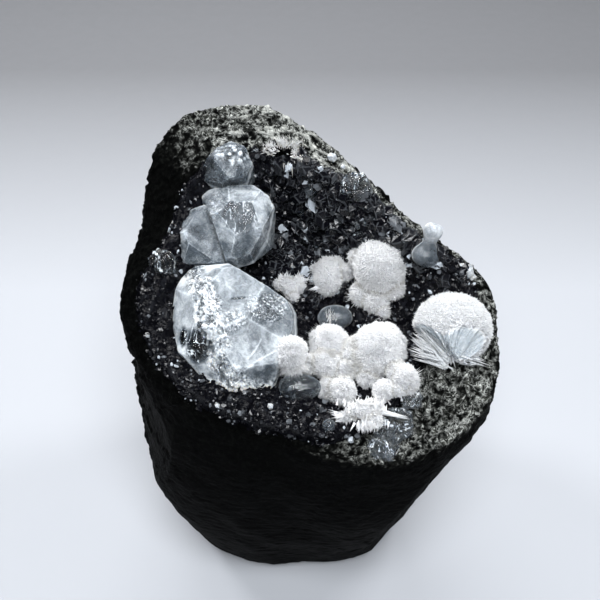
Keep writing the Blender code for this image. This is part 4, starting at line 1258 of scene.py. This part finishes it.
for node, (across, upslope, lift, size) in SMALL_ANALCIMES.items():
    middle = (across, upslope, float(crust_middle(across, upslope)) + lift)
    crystal = (middle, [(around, up, distance * size) for around, up, distance in SMALL_FACETS])
    body = crystal_body(crystal, *SMALL_GRID, chipped_relief)
    marks = crystal_marks(body[0], crystal, 0.3, 0.3, 0.3, 1.2)
    analcime_piece(node.replace("analcime", "crystal"), node, [body], [marks])

# %% [markdown]
# Thomsonite grows as balls of needles that radiate from one point. Each ball is a core with rounded
# lobes whose skin is worked into sugary grains, with thousands of thin pyramids standing just proud of
# it. They give the sparkle and the ragged outline. Hair would do it too, but real meshes stay the same
# wherever the model is used. Balls that grew together swell towards each other. Where they meet, and
# low over the druse, they are creamier and darker, partly a creamy tint and partly painted shade.

# %% Thomsonite balls
CORE_SPACING = 0.14
LOBE_SIZE, SUGAR_SIZE, SUGAR_HEIGHT = 1.5, 0.3, 0.17
NEEDLE_WIDTH, ROOT_DEPTH = 0.15, 0.3
BLEND_REACH, BLEND_LIMIT = 0.3, 0.4
SPRAY_DENSITY, SPRAY_LENGTH, SPRAY_LOBES = 60, 0.2, 0.4
BURST_CREVICE = 0.15
WHITE, SHADED_WHITE, CREAM_AND_SHADE = (0.99, 0.99, 0.99), (0.95, 0.96, 0.96), (0.52, 0.49, 0.41)
GOLDEN_TURN = math.pi * (3 - math.sqrt(5))


def even_directions(count, chance):
    """Directions spread evenly on a ball by the golden angle, then jostled a little."""
    step = np.arange(count) + 0.5
    height = 1 - 2 * step / count
    turn = step * GOLDEN_TURN
    ring = np.sqrt(1 - height**2)
    ways = stacked(ring * np.cos(turn), ring * np.sin(turn), height)
    ways = ways + chance.normal(0, 0.8 / math.sqrt(count), ways.shape)
    return ways / np.linalg.norm(ways, axis=-1, keepdims=True)


def needles(roots, tips, widths):
    """Three-sided pyramids from a root triangle to a tip."""
    along = tips - roots
    along = along / np.linalg.norm(along, axis=-1, keepdims=True)
    side = np.cross(along, np.where(abs(along[:, :1]) < 0.7, (1.0, 0, 0), (0, 1.0, 0)))
    side = side / np.linalg.norm(side, axis=-1, keepdims=True)
    other = np.cross(along, side)
    thirds = np.arange(3) * math.tau / 3 + np.arange(len(roots))[:, None]
    corners = side[:, None] * np.cos(thirds)[..., None] + other[:, None] * np.sin(thirds)[..., None]
    corners = roots[:, None] + corners * widths[:, None, None]
    points = np.concatenate([corners, tips[:, None]], axis=1).reshape(-1, 3)
    shape = np.array([(0, 1, 3), (1, 2, 3), (2, 0, 3), (2, 1, 0)])
    return points, [(shape[None] + 4 * np.arange(len(roots))[:, None, None]).reshape(-1, 3)]


def ball_skin(ways, ball, rest, seed, lobes):
    """The skin in each direction, from the ball's middle: an oval with lobes, which swells by the log of
    one plus the sum of exp(-gap) wherever another ball is near."""
    middle, half = ball
    place = ways * half
    swell = lobes * (grains(place, LOBE_SIZE, seed) - 0.6)
    swell = swell + 0.6 * lobes * (grains(place, LOBE_SIZE / 2, seed + 3) - 0.6)
    gaps = [-depth_in(place + middle, *other) * np.mean(other[1]) / BLEND_REACH for other in rest]
    close = sum((np.exp(-np.clip(gap, -3, 20)) for gap in gaps), np.zeros(ways.shape[:-1]))
    swell = swell + np.minimum(BLEND_REACH * np.log(1 + close), BLEND_LIMIT)
    return ways * (half + swell[..., None])


def ball_core(ball, rest, seed, lobes):
    """A ball's closed core about its own middle, its skin worked into rounded grains."""
    columns = int(math.tau * max(ball[1]) / CORE_SPACING)

    def skin(ways):
        reach = ball_skin(ways, ball, rest, seed, lobes)
        sugar = SUGAR_HEIGHT * (grains(reach, SUGAR_SIZE, seed + 6) - 0.9)
        return reach + ways * sugar[..., None]

    return closed_grid(skin(sphere_grid(columns // 2, columns)), *skin(POLES))


def ball_needles(ball, rest, seed, density, length, lobes):
    """Roots, tips and widths of a ball's needles, most of which barely stand out."""
    chance = np.random.default_rng(seed)
    ways = even_directions(int(density * 4 * math.pi * np.mean(ball[1])**2), chance)
    lean = ways + chance.normal(0, 0.3, ways.shape)
    reach = ball_skin(ways, ball, rest, seed, lobes)
    stand = length * chance.uniform(0.1, 1, (len(ways), 1))**2
    widths = NEEDLE_WIDTH * chance.uniform(0.5, 1.6, len(ways))
    return reach - ways * ROOT_DEPTH, reach + lean * stand, widths


def burst(place, turns, rises, lengths, widths, count, scatter, seed):
    """Needles that fan out from near one place in the face frame: ranges of degrees and mm."""
    chance = np.random.default_rng(seed)
    turn, rise = np.radians(chance.uniform(*turns, count)), np.radians(chance.uniform(*rises, count))
    ways = stacked(np.cos(turn) * np.cos(rise), np.sin(turn) * np.cos(rise), np.sin(rise))
    roots = np.asarray(place) + chance.normal(0, 1, (count, 3)) * scatter
    return needles(roots, roots + ways * chance.uniform(*lengths, (count, 1)), chance.uniform(*widths, count))


def depth_in(local, middle, half):
    """How deep places in the face frame lie in an oval ball: 1 at its middle and 0 on its skin."""
    return 1 - np.linalg.norm((local - middle) / half, axis=-1)


def white_recipe(name):
    """The white finish: paler on needle tips and grains, with painted shade at needle roots; creamier
    and darker by the mark crevice, partly a creamy tint and partly painted shade.
    """
    finish = Recipe(name, (0.93, 0.93, 0.90), 0.4, Subsurface_Weight=1.0, Subsurface_Scale=0.5 * MM,
                    Subsurface_Radius=(1.0, 0.97, 0.9))
    # Partly a creamy tint, partly painted shade between balls and low over the druse.
    cream_and_shade = finish.mark("crevice") + 0.5 * finish.grain(3.2, 3.0) - 0.2
    # Painted shade: the mark deep greys the needles towards their roots.
    deep = finish.mark("deep") + 0.6 * (finish.grain(0.3, 2.0) - 0.5)
    pale = finish.blend(deep.between(0.1, 1.0), WHITE, SHADED_WHITE)
    finish.colour(finish.blend(cream_and_shade.between(0.2, 1.4), pale, CREAM_AND_SHADE))
    finish.roughness(0.12 + 0.4 * finish.grain(0.3))
    finish.bump(finish.cells(0.2), 0.08)
    return finish


white_finish = white_recipe("white_thomsonite")
NEEDLE_DEPTHS = (1.0, 1.0, 1.0, 0.0)


def local_ball(across, upslope, lift, half):
    """A ball's middle in the face frame and its half sizes."""
    height = float(crust_middle(across, upslope)) + lift
    return np.array((across, upslope, height)), np.ones(3) * half


def crevice_share(local, rest):
    """How deep in a crevice places lie: near another ball, or low over the druse."""
    near = [depth_in(local, *other) for other in rest] or [np.full(len(local), -1.0)]
    low = (crust_middle(local[:, 0], local[:, 1]) + 1.1 - local[:, 2]) / 1.5
    return np.clip(0.85 * eased(1 + np.max(near, axis=0) / 0.35) + 0.8 * eased(low), 0, 1.2)


def in_sight(tips, rest):
    """Which needle tips stand over the druse and outside every other ball."""
    shown = tips[:, 2] > crust_middle(tips[:, 0], tips[:, 1]) - 0.2
    for other in rest:
        shown &= depth_in(tips, *other) < 0.04
    return shown


def spray_piece(name, nodes, balls, others=(), extra=(), seed=200, density=SPRAY_DENSITY,
                length=SPRAY_LENGTH, lobes=SPRAY_LOBES):
    """One piece from overlapping balls, cores and needles, less what is out of sight, and extra bursts."""
    parts, crevices, depths = [], [], []
    for number, ball in enumerate(balls):
        middle, own_seed = ball[0], seed + 10 * number
        rest = [other for k, other in enumerate(balls) if k != number] + list(others)
        core = ball_core(ball, rest, own_seed, lobes)
        roots, tips, widths = ball_needles(ball, rest, own_seed, density, length, lobes)
        shown = in_sight(tips + middle, rest)
        spikes = needles(roots[shown], tips[shown], widths[shown])
        for (points, faces), depth in ((core, (0.5,)), (spikes, NEEDLE_DEPTHS)):
            parts.append((points + middle, faces))
            depths.append(np.resize(depth, len(points)))
            crevices.append(crevice_share(points + middle, rest))
    for points, faces in extra:
        parts.append((points, faces))
        depths.append(np.resize(NEEDLE_DEPTHS, len(points)))
        crevices.append(np.full(len(points), BURST_CREVICE))
    points, faces = merged(parts)
    new_piece(name, face_place(points), faces, white_finish.material, nodes,
              smooth=False, marks={"crevice": np.concatenate(crevices), "deep": np.concatenate(depths)})


print("thomsonite helpers ready")

# %% [markdown]
# The small ball is a jagged crown of lobes on a short stem. The upper group has a fuzzy ball with
# tufts at the left and a large sugary one at the right.

# %% The small ball and the upper group
SMALL_SPRAY = (
    (-2.7, 2.4, 1.0, 0.65), (-2.0, 2.9, 1.1, 0.7), (-1.1, 2.9, 1.1, 0.75), (-0.2, 2.6, 1.0, 0.75),
    (0.1, 1.7, 0.9, 0.65), (-1.4, 1.7, 0.9, 1.15), (-0.9, 0.5, 0.4, 0.8),
)
UPPER_SPRAYS = (
    (3.5, 3.2, 1.5, (1.75, 2.5, 1.9)), (5.7, 3.8, 1.2, 1.25), (9.7, 3.7, 2.2, 3.3), (7.0, 5.3, 1.2, 1.1),
    (11.4, 0.9, 1.2, 1.3), (7.6, 0.7, 0.9, 1.55), (10.1, -1.8, 0.4, 0.8), (3.3, 5.4, 1.4, 0.75),
    (4.8, 5.1, 1.4, 0.75), (2.0, 4.6, 1.3, 0.7), (9.3, -0.2, 0.7, 1.7),
)
small_balls = [local_ball(*ball) for ball in SMALL_SPRAY]
upper_balls = [local_ball(*ball) for ball in UPPER_SPRAYS]
small_bursts = [
    burst(small_balls[1][0], (60, 215), (0, 50), (0.7, 1.15), (0.12, 0.25), 60, 0.3, 230),
    burst(small_balls[3][0], (-20, 120), (0, 50), (0.7, 1.2), (0.12, 0.25), 60, 0.3, 231),
]
spray_piece("small_spray", ["small_thomsonite_ball"], small_balls, extra=small_bursts, seed=200, lobes=0.5)
upper_bursts = [
    burst(upper_balls[0][0], (120, 200), (-10, 25), (2.2, 2.7), (0.06, 0.13), 50, 0.2, 330),
    burst(upper_balls[0][0] + (-0.9, -1.3, 0.3), (195, 235), (0, 15), (1.0, 1.5), (0.12, 0.22), 12, 0.15,
          331),
    burst(upper_balls[0][0] + (1.0, 0.8, 0.3), (30, 110), (10, 50), (1.2, 1.9), (0.08, 0.18), 60, 0.2, 332),
    burst(upper_balls[0][0] + (0.2, 0.9, 0.3), (70, 120), (10, 50), (1.2, 1.9), (0.08, 0.18), 40, 0.2, 333),
    burst(upper_balls[6][0], (180, 330), (0, 45), (0.6, 1.3), (0.08, 0.16), 60, 0.2, 334),
    burst(upper_balls[5][0], (180, 290), (0, 45), (1.3, 2.1), (0.08, 0.18), 110, 0.3, 335),
]
spray_piece("upper_sprays", ["upper_thomsonite_cluster"], upper_balls, extra=upper_bursts, seed=300,
            length=0.3, lobes=0.3)

# %% [markdown]
# The lower group has fifteen balls grown into one mass. It is made as two pieces, left and right, so
# that each stays light to handle. The ball at the far left is frayed into a skirt of needles below. At
# the group's front lies a ragged flat fan with a tapering left end and one long glossy blade.

# %% The lower group
LOWER_LEFT_SPRAYS = (
    (-0.95, -7.6, 3.8, 2.0), (3.5, -6.1, 2.0, 2.45), (3.0, -8.5, 1.5, 1.8), (4.8, -11.8, 1.3, 1.7),
    (3.2, -11.5, 0.9, 1.3), (5.2, -9.2, 1.4, 1.5), (1.0, -8.6, 1.2, 1.2),
)
LOWER_RIGHT_SPRAYS = (
    (9.2, -6.9, 2.6, 3.2), (6.7, -7.5, 2.0, 2.1), (11.9, -10.6, 1.2, 1.45), (9.4, -12.0, 1.4, 1.3),
    (7.8, -10.2, 1.2, 1.3), (10.8, -9.6, 1.5, 1.2), (12.4, -11.7, 0.8, 0.8), (11.0, -12.0, 1.0, 0.8),
)
RAGGED_SPRAYS = (
    (5.3, -14.9, 0.6, (1.3, 0.6, 0.45)), (7.3, -14.1, 0.9, (1.9, 1.05, 0.8)),
    (8.0, -15.2, 0.5, (1.1, 0.9, 0.6)),
)
left_balls = [local_ball(*ball) for ball in LOWER_LEFT_SPRAYS]
right_balls = [local_ball(*ball) for ball in LOWER_RIGHT_SPRAYS]
ragged_balls = [local_ball(*place, np.array(half)) for *place, half in RAGGED_SPRAYS]
skirt = left_balls[0][0] + (0.2, -0.9, -1.2)
left_bursts = [
    burst(skirt, (205, 335), (-15, 20), (1.4, 2.2), (0.08, 0.2), 500, 0.25, 430),
    burst(left_balls[1][0], (125, 200), (0, 30), (2.4, 2.9), (0.06, 0.12), 160, 0.25, 431),
    burst(left_balls[3][0], (200, 330), (0, 40), (1.5, 2.0), (0.06, 0.13), 160, 0.3, 432),
]
spray_piece("lower_left_sprays", ["lower_thomsonite_cluster"], left_balls, right_balls, left_bursts,
            seed=400, lobes=0.5)
right_bursts = [burst(right_balls[2][0], (-60, 60), (0, 50), (1.2, 1.8), (0.06, 0.14), 90, 0.2, 530)]
spray_piece("lower_right_sprays", (), right_balls, left_balls, right_bursts, seed=500, density=55)
left_end, body, fringe = (ball[0] for ball in ragged_balls)
ragged_bursts = [
    burst(left_end + (-0.3, 0, 0), (160, 200), (-4, 14), (0.8, 1.7), (0.09, 0.18), 50, (0.4, 0.2, 0.2), 610),
    burst(body + (0, 0.2, 0.2), (60, 130), (10, 50), (0.6, 1.1), (0.12, 0.25), 160, (1.2, 0.3, 0.2), 611),
    burst(fringe + (-0.3, -0.2, 0), (235, 290), (0, 30), (0.7, 1.3), (0.10, 0.22), 150, (0.6, 0.2, 0.2), 612),
    burst(body + (1.7, -0.2, 0.3), (339, 346), (0, 3), (2.8, 3.3), (0.2, 0.3), 9, (0.2, 0.1, 0.1), 613),
]
spray_piece("ragged_fan", (), ragged_balls, right_balls, ragged_bursts, seed=600, length=0.35, lobes=0.5)

# %% [markdown]
# The ball at the right has broken open. Its dome is sugary like the others, and its broken side below
# shows the needles lying side by side, all rising from one centre, with a glassy shine. A loose fan of
# blades spreads from the same centre to the left, with dark gaps between them.

# %% The broken fan
FAN_SPRAY = (17.3, -4.9, 0.5, (4.5, 4.1, 3.2))
FAN_BREAKS = ((-76, 45, 2.5), (232, 10, 2.4))
RAY_DENSITY, RAY_DEPTH = 15, 0.3
FAN_SEED, FAN_DENSITY, FAN_LENGTH, FAN_LOBES = 300, 60, 0.24, 0.2
LOOSE_SEED = 310
LOOSE_NEEDLES = (
    ((0.0, -0.2, 0.4), (120, 169), (4, 30), (2.8, 4.8), (0.1, 0.3), 190, (0.3, 0.4, 0.25)),
    ((2.4, 0.0, 0.5), (330, 400), (0, 30), (1.0, 2.2), (0.08, 0.2), 50, (0.6, 0.3, 0.3)),
    ((0.0, 0.2, 0.0), (225, 310), (-20, 10), (0.5, 1.1), (0.06, 0.14), 50, (0.5, 0.2, 0.2)),
)
FAN_WHITE, FAN_SHADED, GLASSY_BLUE = (0.82, 0.83, 0.835), (0.72, 0.74, 0.74), (0.42, 0.47, 0.51)

fan_middle, fan_half = local_ball(*FAN_SPRAY[:3], np.array(FAN_SPRAY[3]))
fan_look = looks(FAN_BREAKS)
fan_centre = fan_middle + (-0.9, -3.3, -1.2)


def past_breaks(points):
    """How far points lie past each flat break, in mm, negative inside."""
    return points @ fan_look.T - [distance for *_, distance in FAN_BREAKS]


def fan_cut(points):
    """Points past a break, pressed back to it and combed into rays that rise from the fan's centre."""
    for look, (*_, distance) in zip(fan_look, FAN_BREAKS):
        past = points @ look - distance
        step = points + fan_middle - fan_centre
        angle = np.arctan2(np.hypot(step[..., 1], step[..., 2]), step[..., 0])
        turn = stacked(angle * RAY_DENSITY, 0.3 * np.linalg.norm(step, axis=-1), 0 * angle)
        rays = RAY_DEPTH * (layered(turn, 1.0, 305, 2) - 0.3) * eased(past * 2)
        points = points - look * (np.maximum(past, 0) - rays)[..., None]
    return points


fan_ball = (fan_middle, fan_half)
whole_core, core_faces = ball_core(fan_ball, (), FAN_SEED, FAN_LOBES)
past = past_breaks(whole_core).max(axis=-1)
core = (fan_cut(whole_core), core_faces)
roots, tips, widths = ball_needles(fan_ball, (), FAN_SEED, FAN_DENSITY, FAN_LENGTH, FAN_LOBES)
kept = past_breaks(tips).max(axis=-1) < 0.1
spikes = needles(roots[kept], tips[kept], widths[kept])
loose = [
    burst(fan_centre + shift, turns, rises, lengths, widths, count, scatter, LOOSE_SEED + number)
    for number, (shift, turns, rises, lengths, widths, count, scatter) in enumerate(LOOSE_NEEDLES)
]
parts = [core, spikes, *[(points - fan_middle, faces) for points, faces in loose]]
points, faces = merged(parts)
glassiness = (eased(past * 2), 0.0, 0.45, 0.5, 0.5)
broken_side = np.concatenate([np.resize(share, len(part[0])) for share, part in zip(glassiness, parts)])
depth = np.concatenate([np.full(len(core[0]), 0.4), np.resize(NEEDLE_DEPTHS, len(points) - len(core[0]))])

fan_finish = white_recipe("fan_thomsonite")
streak = fan_finish.mark("broken") * (0.4 + 1.0 * fan_finish.grain(0.5, 4.0))
white = fan_finish.blend(fan_finish.mark("deep").between(0.1, 1.0), FAN_WHITE, FAN_SHADED)
fan_finish.colour(fan_finish.blend(streak.between(0.1, 1.1), white, GLASSY_BLUE))
fan_finish.roughness(0.42 - 0.28 * fan_finish.mark("broken"))
new_piece("broken_fan", face_place(points + fan_middle), faces, fan_finish.material,
          ["thomsonite_fan"], smooth=False,
          marks={"broken": broken_side, "deep": depth, "crevice": 0 * depth})

# %% [markdown]
# The glassy pieces are smooth: a foot, a dome, beads, and a drop that hangs by a neck. They are clearer
# in the middle and milky at the edge, where the outline seen from in front gets a painted rim light.

# %% Glassy pieces
GLASSY_PIECES = {
    "glassy_foot": ((-0.1, -11.4, 0.9), (2.4, 1.5, 1.0), 0.18),
    "glassy_dome": ((4.3, -2.2, 0.7), (2.1, 1.6, 1.4), 0.55),
    "front_bead": ((3.2, -15.9, 0.3), (0.75, 0.75, 0.7), 0.2),
}
BEADS = ((1.4, 12.7, 0.4, 0.85), (0.1, 11.6, 0.4, 0.75), (6.9, 11.0, 0.4, 0.7), (7.9, 11.4, 0.4, 0.65))
BEAD_CLOUD, WOBBLE = 0.1, 0.06
DROP_HEAD, DROP_TIP = (15.5, 6.9, 3.5), (14.2, 2.6, 0.9)
DROP_PROFILE = (
    (0.0, 0.0), (0.1, 0.7), (0.6, 1.1), (1.2, 1.1), (1.8, 0.85), (2.3, 0.8), (2.8, 1.1), (3.3, 1.45),
    (3.9, 1.62), (4.5, 1.45), (5.0, 0.9), (5.2, 0.0),
)
ROUND_GRID, DROP_GRID = (44, 72), (80, 72)
glassy_finish = clear_finish("glassy_thomsonite", (0.90, 0.93, 0.96), (0.12, 0.14, 0.16),
                             (0.90, 0.93, 0.96), 0.7)


def glassy_ball(place, half, cloud, seed):
    """A smooth oval with a slow wobble, in the face frame, and its marks."""
    middle, half = local_ball(*place, np.array(half))

    def skin(ways):
        return middle + ways * half * (1 + WOBBLE * rough(ways * 1.7, 1.0, seed))[..., None]

    points, faces = closed_grid(skin(sphere_grid(*ROUND_GRID)), *skin(POLES))
    way = (points - middle) / half
    # Painted rim light: cloudier, so whiter, where the skin turns side-on to the viewer.
    rim = eased((0.6 - abs(way @ TOWARDS_VIEWER)) / 0.6)
    return points, faces, {"cloud": cloud + 0.4 * rim, "etch": 0.02 + 0.05 * rim}


for number, (name, (place, half, cloud)) in enumerate(GLASSY_PIECES.items()):
    points, faces, marks = glassy_ball(place, half, cloud, 150 + number)
    new_piece(name + "_clear", face_place(points), faces, glassy_finish, [name],
              marks=marks)

made = [glassy_ball(place, (radius,) * 3, BEAD_CLOUD, 160) for *place, radius in BEADS]
points, faces = merged([(points, faces) for points, faces, _ in made])
new_piece("druse_beads", face_place(points), faces, glassy_finish,
          marks=joined_marks([marks for _, _, marks in made]))


def profile_value(profile, place):
    """Catmull-Rom value of an open list at places counted in list steps."""
    values = np.array([profile[0], *profile, profile[-1]], float)
    low = np.minimum(place.astype(int), len(profile) - 2)
    return catmull_rom(*(values[low + step] for step in range(4)), (place - low)[:, None])


head, tip = np.array(DROP_HEAD), np.array(DROP_TIP)
line = (tip - head) / np.linalg.norm(tip - head)
side = np.cross(line, (0.0, 0.0, 1.0))
side = side / np.linalg.norm(side)
profile = profile_value(DROP_PROFILE, np.linspace(0, len(DROP_PROFILE) - 1, DROP_GRID[0]))[1:-1]
turn = np.linspace(0, math.tau, DROP_GRID[1], endpoint=False)
ring = np.cos(turn)[:, None] * side + np.sin(turn)[:, None] * np.cross(line, side)
grid = head + profile[:, :1, None] * line + profile[:, 1:, None] * ring
points, faces = closed_grid(grid, head, head + line * DROP_PROFILE[-1][0])
along = (points - head) @ line
off_line = points - head - along[:, None] * line
# Painted rim light: the drop is cloudier along its outline as seen from in front.
rim = eased((0.4 - abs(off_line[:, 2]) / np.maximum(np.linalg.norm(off_line, axis=-1), 0.01)) / 0.3)
cloud = 0.85 - 0.35 * eased((along - 1.4) / 1.4) + 0.4 * rim
marks = {"cloud": cloud, "etch": 0.02 + 0.2 * eased(1.5 - along)}
new_piece("glassy_drop_clear", face_place(points), faces, glassy_finish, ["glassy_drop"],
          marks=marks)

# %% [markdown]
# Small pale growths finish the hollow: feathers above the gas hole and drips below it, clear crystals
# on the upper wall and at the front, a white one on the rim, and a sprig on the glassy dome. They are
# the same blocks and needles again, in the glassy finish.

# %% Small pale growths
FEATHERS = (
    ((-3.3, 17.5), (40, 200), (0.5, 1.3), 90), ((-2.2, 18.0), (50, 150), (0.5, 1.4), 110),
    ((-0.9, 17.9), (10, 120), (0.4, 1.2), 80), ((-3.5, 16.7), (120, 230), (0.4, 1.0), 50),
    ((-1.5, 15.5), (262, 278), (0.9, 2.0), 18), ((-0.4, 15.9), (280, 330), (0.6, 1.4), 24),
    ((-0.4, 17.0), (-40, 60), (0.4, 1.1), 60),
)
PALE_CRYSTALS = (
    (19.5, 2.0, 1.0), (18.9, 2.5, 0.7), (20.1, 1.5, 0.6), (3.9, 16.3, 0.7), (5.2, 15.2, 0.45),
    (-17.3, -5.6, 0.4), (-9.2, -13.6, 0.42), (-3.3, -13.7, 0.4), (-4.9, 2.4, 0.35), (-0.9, 7.6, 0.4),
    (4.0, 4.7, 0.35), (12.0, -13.6, 0.6), (13.3, -10.9, 0.7), (12.7, -12.2, 0.45), (9.9, -19.1, 0.55),
    (-10.2, 13.1, 0.4), (-9.4, 12.2, 0.35), (15.4, -8.6, 0.5), (14.6, -8.2, 0.4), (-16.6, 4.6, 0.35),
)

FEATHER_SEED, SPRIG_SEED, SPRIG_PLACE = 700, 730, (3.7, -2.7, 1.6)
FEATHER_CLOUD, LISTED_CLOUD, SCATTERED_CLOUD, GROWTH_ETCH = 1.6, 0.9, 0.9, 0.35

chance = np.random.default_rng(FEATHER_SEED)
parts = []
for (across, upslope), turns, lengths, count in FEATHERS:
    place = (across, upslope, float(druse_surface(across, upslope)) + 0.3)
    parts.append(burst(place, turns, (5, 60), lengths, (0.04, 0.11), count, (0.35, 0.2, 0.1),
                       FEATHER_SEED + len(parts)))
sprig = local_ball(*SPRIG_PLACE, 0)[0]
parts.append(burst(sprig, (60, 125), (5, 60), (0.7, 1.5), (0.06, 0.12), 26, (0.2, 0.3, 0.1), SPRIG_SEED))
feather_points, feather_faces = merged(parts)
across, upslope, size = np.array(PALE_CRYSTALS).T
places = stacked(across, upslope, druse_surface(across, upslope) + 0.4 * size)
sizes = size[:, None] * chance.uniform(0.8, 1.25, (len(size), 3))
listed = placed(bevelled_block, face_place(places), random_turns(len(size), chance), sizes)
scattered = druse_blocks(bevelled_block, PALE_COUNT, PALE_SEED, PALE_SIZE, upper_right, 0.5)[0]
points, faces = merged([(face_place(feather_points), feather_faces), listed, scattered])
cloudy = SCATTERED_CLOUD * chance.uniform(size=PALE_COUNT)**1.5
cloudy = np.repeat(cloudy, len(scattered[0]) // PALE_COUNT)
cloud = np.concatenate([np.full(len(feather_points), FEATHER_CLOUD), np.full(len(listed[0]), LISTED_CLOUD),
                        np.resize(cloudy, len(scattered[0]))])
new_piece("pale_growths", points, faces, glassy_finish, ["rim_crystal"], smooth=False,
          marks={"cloud": cloud, "etch": GROWTH_ETCH + 0 * cloud})

# %% [markdown]
# Last, the size of the dressed model is worked out and printed, and the frame's box is kept beside it in a
# table.

# %% Size of the dressed model
new_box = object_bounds()
sizes = {"cad": [list(corner) for corner in frame_box], "visual": [list(corner) for corner in new_box]}
print("size in mm:", [round((high - low) / MM, 1) for low, high in zip(*new_box)])
